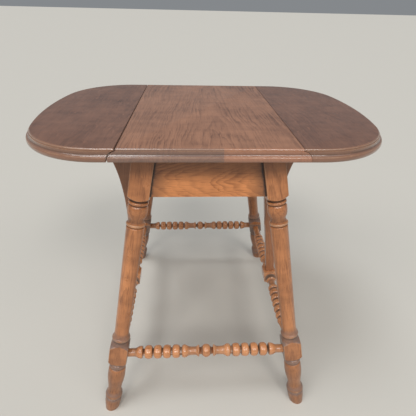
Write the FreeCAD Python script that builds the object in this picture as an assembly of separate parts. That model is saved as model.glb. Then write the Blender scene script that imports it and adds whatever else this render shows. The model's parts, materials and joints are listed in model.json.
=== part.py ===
import FreeCAD, Part
import math
import os

Vec = FreeCAD.Vector

# All lengths are in millimetres and all angles in degrees.
# The floor is z = 0, the leaves lie along X and the front faces -Y.

# Table top
top_height = 686.0
top_thickness = 22.0
top_depth = 516.0
top_width = 722.0
board_width = 320.0
end_radius = 700.0
corner_radius = 158.0

# Moulded edge of the top: rounded arris, ledge, cove and rounded lower band
arris_radius = 3.0
ledge_depth = 4.4
ledge_width = 1.6
ledge_drop = 3.6
cove_radius = 5.2
edge_reach = 8.0
edge_return = 1.8

# Rule joints between the centre board and the leaves
rule_fillet = 4.5
rule_radius = 14.0
rule_clearance = 0.6
rule_gap = 0.8

# Legs
leg_stock = 42.0
leg_inset_x = 41.2
leg_inset_y = 67.7
side_splay = 10.46
front_splay = 9.3
head_length = 103.9
block_above = 36.0
block_below = 22.0
shoulder_rise = 9.0
arris_chamfer = 0.8

# Radii of the legs' turned parts
groove_radius = 17.0
head_ring_radius = 20.3
vase_radius = 20.1
vase_neck_radius = 15.4
collar_radius = 19.8
shaft_top_radius = 18.8
shaft_low_radius = 16.5
ankle_ring_radius = 20.8
foot_collar_radius = 20.4
foot_vase_radius = 20.7
foot_neck_radius = 16.0
foot_ring_radius = 20.8
foot_radius = 19.8
foot_end_radius = 16.8

# Lengths of the legs' turned parts, from the head down to the shaft
head_groove = 4.8
head_ring = 7.2
vase_groove = 1.4
vase_shoulder = 5.0
vase_length = 25.0
collar_flare = 9.5
collar_length = 7.2
collar_groove = 1.4
shaft_round = 3.0

# From the block up to the shaft, and from the block down to the foot
ankle_shoulder = 8.2
ankle_groove = 1.8
ankle_ring = 9.5
ankle_flare = 13.5
foot_shoulder = 3.6
foot_collar = 11.6
foot_collar_groove = 3.0
foot_vase_shoulder = 8.0

# From the floor up to the foot's neck
foot_length = 35.6
foot_groove = 2.8
foot_ring = 11.2
foot_flare = 11.4

# Aprons
apron_height = 92.0
apron_thickness = 18.0
front_setback = 7.0
side_setback = 17.0
tenon_thickness = 8.0
tenon_length = 16.0
tenon_shoulder = 12.0
tenon_fit = 0.1

# Stretchers
stretcher_height = 171.0
spool_radius = 15.6
spool_ball_radius = 15.2
spool_lip_radius = 14.2
spool_vase_radius = 14.9
spool_drop_radius = 14.6
spool_groove_radius = 9.5
spool_neck_radius = 9.6
ball_half_length = 10.3
lip_spacing = 6.0
spool_vase_length = 42.5
bead_pitch = 21.9
bead_share = 0.74
front_drop_length = 21.5
side_drop_length = 51.0
front_neck_length = 14.0
side_neck_length = 16.0
pivot_block = 36.0
pivot_block_length = 50.0
bore_stop = 10.5
bore_fit = 0.08

# Wings
wing_thickness = 18.0
wing_pivot_inset = 15.5
wing_heel = 9.5
wing_inner_top = 7.0
wing_toe = 14.0
wing_waist = 24.0
wing_flare = 50.5
wing_reach = 135.0
wing_waist_drop = 310.0
wing_flare_drop = 160.0
wing_nose = 13.0
wing_relief = 3.0
wing_relief_reach = 60.0
wing_gap = 0.4
wing_edge = 2.0
wing_pin_radius = 3.0
wing_pin_hold = 22.0
wing_pin_reach = 11.0
wing_pin_fit = 0.08

# Rule-joint hinges
hinge_spacing = 300.0
hinge_length = 38.0
hinge_plate = 1.8
hinge_fixed_reach = 34.0
hinge_leaf_reach = 48.0
knuckle_radius = 3.2
knuckle_share = 11.0
knuckle_gap = 0.3
knuckle_room = 1.3
hinge_pin_radius = 1.6
hinge_pin_fit = 0.06
hinge_plate_room = 0.8

# Screws
screw_radius = 1.75
screw_head_radius = 3.5
screw_head_depth = 1.7
screw_length = 13.0
screw_row = 12.0
screw_rows = (14.0, 26.0)
leaf_screw_rows = (26.0, 40.0)
top_screw_radius = 2.2
top_screw_head_radius = 4.5
top_screw_head = 2.6
top_screw_bite = 13.0
screw_fit = 0.06

# Corner blocks
corner_block_height = 42.0
corner_block_thickness = 24.0
corner_block_gap = 1.0

underside = top_height - top_thickness
pin_x = board_width / 2
pin_z = top_height - rule_fillet - rule_radius
leg_half = leg_stock / 2
leg_head_x = board_width / 2 - leg_inset_x
leg_head_y = top_depth / 2 - leg_inset_y
side_lean = math.radians(side_splay)
front_lean = math.radians(front_splay)
FAR = 1500.0


def mirrored(shape, flip_x, flip_y):
    """The right-hand front piece carried over to another corner."""
    if flip_x:
        shape = shape.mirror(Vec(0, 0, 0), Vec(1, 0, 0))
    if flip_y:
        shape = shape.mirror(Vec(0, 0, 0), Vec(0, 1, 0))
    return shape


def both_ways(shape, normal):
    """A half piece joined to its mirror image."""
    return shape.fuse(shape.mirror(Vec(0, 0, 0), normal)).removeSplitter()


def path_edges(start, moves):
    """Edges from start through moves: (end,) is a line and (middle, end) an arc."""
    edges = []
    here = start
    for move in moves:
        if len(move) == 2:
            edges.append(Part.Arc(here, move[0], move[1]).toShape())
        else:
            edges.append(Part.LineSegment(here, move[0]).toShape())
        here = move[-1]
    return edges


def face_from(start, moves):
    return Part.Face(Part.Wire(path_edges(start, moves + [(start,)])))


def polygon(points):
    return Part.Face(Part.makePolygon(points + [points[0]]))


def placed(shape, origin, ex, ey, ez):
    """The shape set into the frame with these axes."""
    moved = shape.copy()
    moved.Placement = FreeCAD.Placement(
        FreeCAD.Matrix(
            ex.x, ey.x, ez.x, origin.x,
            ex.y, ey.y, ez.y, origin.y,
            ex.z, ey.z, ez.z, origin.z,
            0, 0, 0, 1,
        )
    )
    return moved


def span_box(low, high):
    """A box between two corner points."""
    return Part.makeBox(high.x - low.x, high.y - low.y, high.z - low.z, low)


def rod(start, end, radius):
    return Part.makeCylinder(radius, (end - start).Length, start, end - start)


def tangent_middle(start, direction, end):
    """Middle point and end direction of the arc that leaves start along direction and meets end."""
    chord = end - start
    across = chord - direction * chord.dot(direction)
    across.normalize()
    radius = chord.Length ** 2 / (2 * chord.dot(across))
    centre = start + across * radius
    spoke = start - centre + end - centre
    spoke.normalize()
    swing = 2 * direction.getAngle(chord)
    leaving = direction * math.cos(swing) + across * math.sin(swing)
    return centre + spoke * radius, leaving


def edge_moves(point):
    """Moulded edge from the arris to the underside; point places (outward, depth)."""
    bow = math.sqrt(0.5)
    cove_start = ledge_depth + ledge_drop
    cove_end = cove_start + cove_radius
    lip = ledge_width + cove_radius
    band_middle = (cove_end + top_thickness) / 2
    return [
        (
            point(-arris_radius * (1 - bow), arris_radius * (1 - bow)),
            point(0, arris_radius),
        ),
        (point(0, ledge_depth),),
        (point(ledge_width, ledge_depth),),
        (point(ledge_width, cove_start),),
        (
            point(ledge_width + cove_radius * (1 - bow), cove_start + cove_radius * bow),
            point(lip, cove_end),
        ),
        (point(edge_reach, band_middle), point(edge_reach - edge_return, top_thickness)),
    ]


def straight_half(x_low, x_high):
    """Front half of a board whose front edge runs along X."""

    def point(outward, depth):
        return Vec(x_low, -top_depth / 2 - outward, top_height - depth)

    moves = edge_moves(point) + [(Vec(x_low, 0, underside),), (Vec(x_low, 0, top_height),)]
    return face_from(point(-arris_radius, 0), moves).extrude(Vec(x_high - x_low, 0, 0))


def round_edge(centre, radius, first, last):
    """Wedge of the top whose moulded edge is an arc about centre, between two headings."""

    def point(outward, depth):
        return Vec(radius + outward, 0, top_height - depth)

    moves = edge_moves(point) + [(Vec(0, 0, underside),), (Vec(0, 0, top_height),)]
    wedge = face_from(point(-arris_radius, 0), moves).revolve(Vec(0, 0, 0), Vec(0, 0, 1), last - first)
    wedge.rotate(Vec(0, 0, 0), Vec(0, 0, 1), first)
    wedge.translate(centre)
    return wedge


def leaf_blank():
    """The right leaf with its moulded edge, before the rule joint is cut."""
    end_centre = top_width / 2 - end_radius
    corner_y = top_depth / 2 - corner_radius
    corner_x = end_centre + math.sqrt((end_radius - corner_radius) ** 2 - corner_y ** 2)
    turn = math.degrees(math.atan2(corner_y, corner_x - end_centre))
    half = straight_half(pin_x - rule_radius, corner_x)
    half = half.fuse(
        [
            round_edge(Vec(corner_x, -corner_y, 0), corner_radius, -90, -turn),
            round_edge(Vec(end_centre, 0, 0), end_radius, -turn, 0),
        ]
    )
    return both_ways(half, Vec(0, 1, 0))


def rule_point(radius, angle):
    """A point at radius and angle about the right-hand hinge pin, on the front limit."""
    return Vec(
        pin_x + radius * math.cos(math.radians(angle)),
        -FAR,
        pin_z + radius * math.sin(math.radians(angle)),
    )


def board_section():
    """Everything that the centre board may fill, seen along Y."""
    start = Vec(0, -FAR, top_height)
    moves = [
        (Vec(pin_x, -FAR, top_height),),
        (Vec(pin_x, -FAR, pin_z + rule_radius),),
        (rule_point(rule_radius, 45), Vec(pin_x + rule_radius, -FAR, pin_z)),
        (Vec(pin_x + rule_radius, -FAR, underside),),
        (Vec(0, -FAR, underside),),
    ]
    return both_ways(face_from(start, moves).extrude(Vec(0, 2 * FAR, 0)), Vec(1, 0, 0))


def leaf_section():
    """Everything that the right leaf may fill, seen along Y."""
    radius = rule_radius + rule_clearance
    steep = math.degrees(math.acos(rule_gap / radius))
    start = Vec(pin_x + rule_gap, -FAR, top_height)
    moves = [
        (rule_point(radius, steep),),
        (rule_point(radius, steep / 2), rule_point(radius, 0)),
        (Vec(pin_x + radius, -FAR, underside),),
        (Vec(FAR, -FAR, underside),),
        (Vec(FAR, -FAR, top_height),),
    ]
    return face_from(start, moves).extrude(Vec(0, 2 * FAR, 0))


# Leg axes, worked out for the right-hand front leg

leg_head = Vec(leg_head_x, -leg_head_y, underside)
leg_foot = Vec(
    leg_head_x + underside * math.tan(side_lean),
    -leg_head_y - underside * math.tan(front_lean),
    0,
)
leg_span = leg_head - leg_foot
leg_axis_length = leg_span.Length
leg_up = leg_span / leg_axis_length
leg_back = leg_up.cross(Vec(1, 0, 0)).normalize()
leg_out = leg_back.cross(leg_up)
stretcher_along = stretcher_height / leg_up.z
leg_mid = leg_foot + leg_up * stretcher_along


def in_leg(shape):
    """A shape drawn about the leg's own axis, set into its splayed place."""
    return placed(shape, leg_foot, leg_out, leg_back, leg_up)


def past_side_face(depth):
    """All that lies deeper than depth behind the leg's inner side face."""
    low = Vec(depth - leg_half, -FAR, -FAR)
    return in_leg(span_box(low, Vec(FAR, FAR, FAR)))


def past_rear_face(depth):
    """All that lies deeper than depth behind the leg's inner rear face."""
    high = Vec(FAR, leg_half - depth, FAR)
    return in_leg(span_box(Vec(-FAR, -FAR, -FAR), high))


def leg_profile():
    """Half outline of the leg: turned all over, and wider than the square where it stays square."""

    def at(height, radius):
        return Vec(radius, 0, height)

    def between(low, high, share):
        return low + (high - low) * share

    corner = leg_half * math.sqrt(2) + 1
    floor_of = groove_radius + 0.6

    ring_low = foot_length + foot_groove
    flare_low = ring_low + foot_ring
    neck = flare_low + foot_flare
    block_low = stretcher_along - block_below
    collar_high = block_low - foot_shoulder
    collar_low = collar_high - foot_collar
    foot_vase_high = collar_low - foot_collar_groove
    swell = foot_vase_high - foot_vase_shoulder
    foot = [
        (at(-8, foot_end_radius),),
        (at(0, foot_end_radius),),
        (at(foot_length * 0.3, between(foot_end_radius, foot_radius, 0.6)), at(foot_length, foot_radius)),
        (at(foot_length + foot_groove / 2, foot_radius - foot_groove / 2), at(ring_low, foot_radius)),
        (at(between(ring_low, flare_low, 0.55), foot_ring_radius), at(flare_low, foot_ring_radius - 0.9)),
        (
            at(between(flare_low, neck, 0.36), between(foot_neck_radius, foot_ring_radius, 0.36)),
            at(neck, foot_neck_radius),
        ),
        (
            at(between(neck, swell, 0.18), between(foot_neck_radius, foot_vase_radius, 0.15)),
            at(between(neck, swell, 0.35), between(foot_neck_radius, foot_vase_radius, 0.5)),
        ),
        (at(between(neck, swell, 0.66), foot_vase_radius), at(swell, foot_vase_radius - 0.6)),
        (
            at(between(swell, foot_vase_high, 0.6), between(floor_of, foot_vase_radius, 0.62)),
            at(foot_vase_high, floor_of),
        ),
        (at(collar_low, floor_of),),
        (at(between(collar_low, collar_high, 0.5), foot_collar_radius), at(collar_high, floor_of)),
    ]

    block_high = stretcher_along + block_above
    ankle_low = block_high + ankle_shoulder
    ankle_ring_low = ankle_low + ankle_groove
    ankle_ring_high = ankle_ring_low + ankle_ring
    shaft_low = ankle_ring_high + ankle_flare
    block = [
        (at(block_low - foot_shoulder / 4, floor_of),),
        (at(block_low, leg_half), at(block_low + shoulder_rise, corner)),
        (at(block_high - shoulder_rise, corner),),
        (at(block_high, leg_half), at(ankle_low, floor_of)),
        (at(ankle_ring_low, floor_of),),
        (
            at(between(ankle_ring_low, ankle_ring_high, 0.52), ankle_ring_radius),
            at(ankle_ring_high, between(shaft_low_radius, ankle_ring_radius, 0.6)),
        ),
        (
            at(between(ankle_ring_high, shaft_low, 0.38), between(shaft_low_radius, ankle_ring_radius, 0.24)),
            at(shaft_low, shaft_low_radius),
        ),
    ]

    head_low = leg_axis_length - head_length
    head_ring_high = head_low - head_groove
    head_ring_low = head_ring_high - head_ring
    vase_high = head_ring_low - vase_groove
    vase_crest = vase_high - vase_shoulder
    vase_low = vase_crest - vase_length
    collar_top = vase_low - collar_flare
    collar_base = collar_top - collar_length
    shaft_high = collar_base - collar_groove
    head = [
        (at(shaft_high - shaft_round, shaft_top_radius),),
        (
            at(shaft_high - shaft_round * 0.3, between(groove_radius, shaft_top_radius, 0.7)),
            at(shaft_high, groove_radius - 0.4),
        ),
        (at(collar_base, groove_radius - 0.4),),
        (at(between(collar_base, collar_top, 0.48), collar_radius), at(collar_top, groove_radius)),
        (
            at(between(collar_top, vase_low, 0.4), between(vase_neck_radius, groove_radius, 0.25)),
            at(vase_low, vase_neck_radius),
        ),
        (
            at(between(vase_low, vase_crest, 0.46), between(vase_neck_radius, vase_radius, 0.34)),
            at(between(vase_low, vase_crest, 0.86), vase_radius - 0.3),
        ),
        (at(vase_crest, vase_radius), at(vase_high, groove_radius + 0.2)),
        (at(head_ring_low, groove_radius),),
        (at(between(head_ring_low, head_ring_high, 0.5), head_ring_radius), at(head_ring_high, groove_radius)),
        (at(head_low - head_groove * 0.75, groove_radius),),
        (at(head_low, leg_half), at(head_low + shoulder_rise, corner)),
        (at(leg_axis_length + 20, corner),),
        (at(leg_axis_length + 20, 0),),
    ]
    start = at(-8, 0)
    moves = foot + block + head
    return face_from(start, moves)


def spool_moves(begin, face, drop, neck, stop):
    """Spool turning from a vase's lip at begin to the bored end at stop; points are (along, radius)."""
    groove = spool_groove_radius
    thin = spool_neck_radius
    vase_end = begin + spool_vase_length
    tear = face - neck - drop
    zone = tear - vase_end
    count = max(1, round(zone / bead_pitch - 1 + bead_share))
    pitch = zone / (count + 1 - bead_share)
    bead = pitch * bead_share
    rise = spool_radius - groove
    moves = [
        ((begin + 0.6, groove + 2.8), (begin + 3.2, spool_lip_radius)),
        ((begin + 5.6, thin + 2.0), (begin + 11, thin)),
        ((vase_end - 23, thin),),
        ((vase_end - 16, thin + 1.3), (vase_end - 11, spool_vase_radius - 1.3)),
        ((vase_end - 4.5, spool_vase_radius), (vase_end, groove + 2)),
        ((vase_end, groove),),
    ]
    for number in range(count):
        low = vase_end + (number + 1) * pitch - bead
        high = low + bead
        moves += [
            ((low, groove),),
            ((low + bead * 0.07, groove + rise * 0.64), (low + bead * 0.27, groove + rise * 0.92)),
            ((low + bead / 2, spool_radius), (high - bead * 0.27, groove + rise * 0.92)),
            ((high - bead * 0.07, groove + rise * 0.64), (high, groove)),
        ]
    waist = tear + 12.5
    moves += [
        ((tear, groove),),
        ((tear + 0.8, groove + 3.6), (tear + 3.6, spool_drop_radius)),
        ((tear + 8.5, spool_drop_radius - 0.8), (waist, thin + 2.6)),
        ((waist + (face - neck - waist) * 0.4, thin + 0.8), (face - neck, thin)),
        ((stop, thin),),
        ((stop, 0),),
    ]
    return moves


def spool(first, moves):
    """Turned stretcher along X from its half outline, which begins at first."""

    def at(pair):
        return Vec(pair[0], 0, pair[1])

    path = [tuple(at(pair) for pair in move) for move in moves]
    half = path_edges(at((0, 0)), [(at(first),)] + path + [(at((0, 0)),)])
    face = Part.Face(Part.Wire(half))
    return both_ways(face.revolve(Vec(0, 0, 0), Vec(1, 0, 0), 360), Vec(1, 0, 0))


def front_slab(outer, inner, z_low, z_high, depth):
    """Sloping board between the two front legs; outer and inner are measured from the leg axes."""

    def at(offset, z):
        lean = (underside - z) * math.tan(front_lean)
        return Vec(-FAR, -leg_head_y - lean - offset / math.cos(front_lean), z)

    face = polygon([at(outer, z_high), at(outer, z_low), at(inner, z_low), at(inner, z_high)])
    slab = face.extrude(Vec(2 * FAR, 0, 0))
    limit = past_side_face(depth)
    return slab.cut([limit, mirrored(limit, True, False)])


def side_slab(outer, inner, z_low, z_high, depth):
    """Sloping board between the two right-hand legs."""

    def at(offset, z):
        lean = (underside - z) * math.tan(side_lean)
        return Vec(leg_head_x + lean + offset / math.cos(side_lean), -FAR, z)

    face = polygon([at(outer, z_high), at(outer, z_low), at(inner, z_low), at(inner, z_high)])
    slab = face.extrude(Vec(0, 2 * FAR, 0))
    limit = past_rear_face(depth)
    return slab.cut([limit, mirrored(limit, False, True)])


def tenon(slab, setback, fit):
    """The tenon layer of an apron, or its mortise when fit is above nought."""
    middle = leg_half - setback - apron_thickness / 2
    reach = tenon_thickness / 2 + fit
    low = underside - apron_height + tenon_shoulder - fit
    high = underside - tenon_shoulder + fit
    return slab(middle + reach, middle - reach, low, high, tenon_length + fit)


def apron(slab, setback):
    outer = leg_half - setback
    board = slab(outer, outer - apron_thickness, underside - apron_height, underside, 0)
    return board.fuse(tenon(slab, setback, 0)).removeSplitter()


def leg():
    """The right-hand front leg with its mortises and bores."""
    blank = leg_profile().revolve(Vec(0, 0, 0), Vec(0, 0, 1), 360)
    square = Part.makeBox(leg_stock, leg_stock, 2 * FAR, Vec(-leg_half, -leg_half, -FAR))
    upright = [edge for edge in square.Edges if abs(edge.tangentAt(edge.FirstParameter).z) > 0.9]
    square = square.makeChamfer(arris_chamfer, upright)
    piece = in_leg(blank.common(square))
    room = span_box(Vec(-FAR, -FAR, 0), Vec(FAR, FAR, underside))
    piece = piece.common(room)
    bores = [
        tenon(front_slab, front_setback, tenon_fit),
        tenon(side_slab, side_setback, tenon_fit),
        rod(
            Vec(0, leg_mid.y, leg_mid.z),
            Vec(leg_mid.x - bore_stop + tenon_fit, leg_mid.y, leg_mid.z),
            spool_neck_radius + bore_fit,
        ),
        rod(
            Vec(leg_mid.x, 0, leg_mid.z),
            Vec(leg_mid.x, leg_mid.y + bore_stop - tenon_fit, leg_mid.z),
            spool_neck_radius + bore_fit,
        ),
    ]
    return piece.cut(bores)


# Wing pivot axis: through the side stretcher's middle, leaning in to the underside of the centre board

pivot_foot = Vec(leg_mid.x, 0, stretcher_height)
pivot_head = Vec(pin_x - wing_pivot_inset, 0, underside)
pivot_up = (pivot_head - pivot_foot).normalize()
pivot_out = Vec(0, 1, 0).cross(pivot_up)
wing_base = pivot_foot + pivot_up * (pivot_block / 2)


def wing_point(across, along):
    """A point in the right-hand wing's plane, from its pivot axis and the block below it."""
    return wing_base + pivot_out * across + pivot_up * along


def wing_top(across, drop):
    """The point at across that lies drop below the underside of the top."""
    rise = underside - drop - wing_base.z - across * pivot_out.z
    return wing_point(across, rise / pivot_up.z)


def wing():
    """The right-hand wing, open."""
    toe = wing_point(wing_toe, wing_gap)
    waist = wing_top(wing_waist, wing_waist_drop)
    flare = wing_top(wing_flare, wing_flare_drop)
    nose = wing_top(wing_reach, wing_gap + wing_nose)
    lower_middle, leaving = tangent_middle(waist, (waist - toe).normalize(), flare)
    upper_middle, leaving = tangent_middle(flare, leaving, nose)
    start = wing_point(-wing_heel, wing_gap)
    moves = [
        (toe,),
        (waist,),
        (lower_middle, flare),
        (upper_middle, nose),
        (wing_top(wing_reach, wing_gap),),
        (wing_top(wing_relief_reach, wing_gap),),
        (wing_top(wing_relief_reach - wing_relief, wing_relief),),
        (wing_top(-wing_inner_top, wing_relief),),
    ]
    board = face_from(start, moves)
    board.translate(Vec(0, -wing_thickness / 2, 0))
    board = board.extrude(Vec(0, wing_thickness, 0))
    eased = []
    for edge in board.Edges:
        middle = edge.valueAt((edge.FirstParameter + edge.LastParameter) / 2)
        flat = abs(edge.tangentAt(edge.FirstParameter).y) < 0.5
        outer = (middle - wing_base).dot(pivot_out) > wing_toe and middle.z < nose.z
        if flat and outer:
            eased.append(edge)
    return board.makeChamfer(wing_edge, eased)


def wing_rod(start, end, radius):
    """A rod on the wing's pivot axis between two distances from the block's top."""
    return rod(wing_point(0, start), wing_point(0, end), radius)


wing_head_along = (wing_top(0, 0) - wing_base).Length
lower_pin = (-wing_pin_reach, wing_pin_hold)
upper_pin = (wing_head_along - wing_pin_hold, wing_head_along + wing_pin_reach)


def screw(at, radius, head_radius, head, length):
    """A countersunk screw driven up from at, its head flush with at."""
    start = Vec(0, 0, 0)
    moves = [
        (Vec(head_radius, 0, 0),),
        (Vec(radius, 0, head),),
        (Vec(radius, 0, length - 2 * radius),),
        (Vec(0, 0, length),),
    ]
    piece = face_from(start, moves).revolve(Vec(0, 0, 0), Vec(0, 0, 1), 360)
    piece.translate(at)
    return piece


def hinge_screw(at, fit):
    return screw(at, screw_radius + fit, screw_head_radius + fit, screw_head_depth, screw_length + fit)


def hinge_screw_places(rows, way, middle):
    """Places of a plate's screws: one near the pin and two beyond it."""
    near = Vec(pin_x + way * rows[0], middle, underside)
    far = [Vec(pin_x + way * rows[1], middle + side * screw_row, underside) for side in (-1, 1)]
    return [near] + far


def hinge_box(x_low, x_high, margin, height, middle):
    """A box in the underside of the top, at a hinge."""
    reach = hinge_length / 2 + margin
    low = Vec(x_low, middle - reach, underside)
    return span_box(low, Vec(x_high, middle + reach, underside + height))


def knuckle(low, high, tab, way):
    """A knuckle between two places along Y, with the tab that carries it."""
    barrel = rod(Vec(pin_x, low, pin_z), Vec(pin_x, high, pin_z), knuckle_radius)
    ends = sorted((pin_x + way * 0.6, pin_x + way * tab))
    strip = span_box(Vec(ends[0], low, underside), Vec(ends[1], high, underside + hinge_plate))
    return barrel.fuse(strip)


def hinge_plates(middle):
    """Fixed plate, leaf plate and pin of one right-hand hinge."""
    low = middle - hinge_length / 2
    high = middle + hinge_length / 2
    tab = knuckle_radius + knuckle_room + 1
    edge = knuckle_radius + knuckle_room
    inner_low = low + knuckle_share
    inner_high = high - knuckle_share
    hole = rod(
        Vec(pin_x, low - 1, pin_z),
        Vec(pin_x, high + 1, pin_z),
        hinge_pin_radius + hinge_pin_fit,
    )
    fixed = hinge_box(pin_x - hinge_fixed_reach, pin_x - edge, 0, hinge_plate, middle)
    fixed = fixed.fuse(
        [
            knuckle(low, inner_low, tab, -1),
            knuckle(inner_high, high, tab, -1),
        ]
    )
    fixed_holes = [hinge_screw(at, screw_fit) for at in hinge_screw_places(screw_rows, -1, middle)]
    fixed = fixed.cut([hole] + fixed_holes).removeSplitter()
    leaf = hinge_box(pin_x + edge, pin_x + hinge_leaf_reach, 0, hinge_plate, middle)
    leaf = leaf.fuse(knuckle(inner_low + knuckle_gap, inner_high - knuckle_gap, tab, 1))
    leaf_holes = [hinge_screw(at, screw_fit) for at in hinge_screw_places(leaf_screw_rows, 1, middle)]
    leaf = leaf.cut([hole] + leaf_holes).removeSplitter()
    pin = rod(Vec(pin_x, low, pin_z), Vec(pin_x, high, pin_z), hinge_pin_radius)
    return fixed, leaf, pin


def hinge_gains(middle):
    """What one hinge takes out of the centre board: plate seat, knuckle groove and leaf plate room."""
    groove = knuckle_radius + knuckle_room
    groove_height = pin_z - underside + groove
    gains = [
        hinge_box(pin_x - hinge_fixed_reach, pin_x, 0, hinge_plate, middle),
        hinge_box(pin_x - groove, pin_x + groove, knuckle_gap, groove_height, middle),
        hinge_box(
            pin_x,
            pin_x + 2 * rule_radius,
            knuckle_gap,
            hinge_plate + hinge_plate_room,
            middle,
        ),
    ]
    return gains + [hinge_screw(at, screw_fit) for at in hinge_screw_places(screw_rows, -1, middle)]


# Corner blocks and the screws that hold the top to them

corner_in = Vec(-1, 1, 0).normalize()
corner_along = Vec(1, 1, 0).normalize()
leg_corner = leg_head - leg_out * leg_half + leg_back * leg_half
leg_corner = leg_corner + leg_up * ((underside - leg_corner.z) / leg_up.z)
top_screw_at = leg_corner + corner_in * (corner_block_gap + corner_block_thickness / 2)


def top_screw(fit):
    """Round-headed screw up through the right-hand front corner block."""
    low = underside - corner_block_height
    foot = Vec(top_screw_at.x, top_screw_at.y, low)
    shank = rod(foot, Vec(foot.x, foot.y, underside + top_screw_bite + fit), top_screw_radius + fit)
    head = rod(foot - Vec(0, 0, top_screw_head), foot, top_screw_head_radius)
    return shank.fuse(head)


def corner_block():
    """The right-hand front corner block, fitted between the aprons."""
    near = leg_corner + corner_in * corner_block_gap
    far = near + corner_in * corner_block_thickness
    points = [
        near - corner_along * FAR,
        near + corner_along * FAR,
        far + corner_along * FAR,
        far - corner_along * FAR,
    ]
    block = polygon(points).extrude(Vec(0, 0, -corner_block_height))
    front = leg_half - front_setback - apron_thickness
    side = leg_half - side_setback - apron_thickness
    outside = [
        front_slab(FAR, front, -FAR, FAR, FAR),
        side_slab(FAR, side, -FAR, FAR, FAR),
    ]
    return block.cut(outside + [top_screw(screw_fit)])


os.makedirs("parts", exist_ok=True)


def save(shape, node):
    shape.exportStep("parts/" + node + ".step")


hinge_middles = (-hinge_spacing / 2, hinge_spacing / 2)
sides = (("left", True), ("right", False))
ends = (("front", False), ("back", True))

# Centre board

board = both_ways(straight_half(-pin_x - rule_radius, pin_x + rule_radius), Vec(0, 1, 0))
board = board.common(board_section())
gains = [gain for middle in hinge_middles for gain in hinge_gains(middle)]
gains.append(wing_rod(wing_head_along - 5, wing_head_along + wing_pin_reach + 0.5, wing_pin_radius + wing_pin_fit))
board = board.cut(gains + [mirrored(gain, True, False) for gain in gains])
fixings = [mirrored(top_screw(screw_fit), flip_x, flip_y) for _, flip_x in sides for _, flip_y in ends]
board = board.cut(fixings)
save(board, "top_centre")

# Leaves

leaf = leaf_blank().common(leaf_section())
leaf_gains = []
for middle in hinge_middles:
    leaf_gains.append(hinge_box(pin_x, pin_x + hinge_leaf_reach, 0, hinge_plate, middle))
    leaf_gains += [hinge_screw(at, screw_fit) for at in hinge_screw_places(leaf_screw_rows, 1, middle)]
leaf = leaf.cut(leaf_gains)
for side, flip_x in sides:
    save(mirrored(leaf, flip_x, False), "leaf_" + side)

# Legs and corner blocks

corner_leg = leg()
block = corner_block()
for end, flip_y in ends:
    for side, flip_x in sides:
        save(mirrored(corner_leg, flip_x, flip_y), "leg_" + end + "_" + side)
        save(mirrored(block, flip_x, flip_y), "corner_block_" + end + "_" + side)

# Aprons

front_apron = apron(front_slab, front_setback)
side_apron = apron(side_slab, side_setback)
for end, flip_y in ends:
    save(mirrored(front_apron, False, flip_y), "apron_" + end)
for side, flip_x in sides:
    save(mirrored(side_apron, flip_x, False), "apron_" + side)

# Stretchers

front_face = leg_mid.x - leg_half / leg_out.x
side_face = -leg_mid.y - leg_half / leg_back.y
front_lip = ball_half_length + lip_spacing
ball_sink = spool_ball_radius - spool_groove_radius
ball_curve = (ball_half_length ** 2 + ball_sink ** 2) / (2 * ball_sink)
ball_turn = math.asin(ball_half_length / ball_curve) / 2
ball_middle = (
    ball_curve * math.sin(ball_turn),
    spool_ball_radius - ball_curve * (1 - math.cos(ball_turn)),
)
ball_moves = [
    (ball_middle, (ball_half_length, spool_groove_radius)),
    ((front_lip, spool_groove_radius),),
]
front_moves = spool_moves(
    front_lip, front_face, front_drop_length, front_neck_length, leg_mid.x - bore_stop
)
front_stretcher = spool((0, spool_ball_radius), ball_moves + front_moves)
front_stretcher.translate(Vec(0, leg_mid.y, stretcher_height))
for end, flip_y in ends:
    save(mirrored(front_stretcher, False, flip_y), "stretcher_" + end)

block_half = pivot_block_length / 2
block_corner = pivot_block / math.sqrt(2) + 1
side_lip = block_half + lip_spacing
block_moves = [
    ((block_half - shoulder_rise, block_corner),),
    ((block_half - shoulder_rise / 4, pivot_block / 2), (block_half, spool_groove_radius)),
    ((side_lip, spool_groove_radius),),
]
side_moves = spool_moves(
    side_lip, side_face, side_drop_length, side_neck_length, -leg_mid.y - bore_stop
)
side_stretcher = spool((0, block_corner), block_moves + side_moves)
stock = Part.makeBox(2 * FAR, pivot_block, pivot_block, Vec(-FAR, -pivot_block / 2, -pivot_block / 2))
side_stretcher = side_stretcher.common(stock)
side_stretcher = placed(side_stretcher, pivot_foot, Vec(0, 1, 0), -pivot_out, pivot_up)
side_stretcher = side_stretcher.cut(
    wing_rod(-wing_pin_reach - 0.5, 1, wing_pin_radius + wing_pin_fit)
)
for side, flip_x in sides:
    save(mirrored(side_stretcher, flip_x, False), "stretcher_" + side)

# Wings and their pins

open_wing = wing()
for low, high in (lower_pin, upper_pin):
    open_wing = open_wing.cut(wing_rod(low, high, wing_pin_radius))
for side, flip_x in sides:
    save(mirrored(open_wing, flip_x, False), "wing_" + side)
    save(mirrored(wing_rod(*lower_pin, wing_pin_radius), flip_x, False), "wing_pin_lower_" + side)
    save(mirrored(wing_rod(*upper_pin, wing_pin_radius), flip_x, False), "wing_pin_upper_" + side)

# Hinges and screws

for end, middle in zip(("front", "back"), hinge_middles):
    fixed, moving, pin = hinge_plates(middle)
    for side, flip_x in sides:
        save(mirrored(fixed, flip_x, False), "hinge_plate_fixed_" + end + "_" + side)
        save(mirrored(moving, flip_x, False), "hinge_plate_leaf_" + end + "_" + side)
        save(mirrored(pin, flip_x, False), "hinge_pin_" + end + "_" + side)

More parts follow.
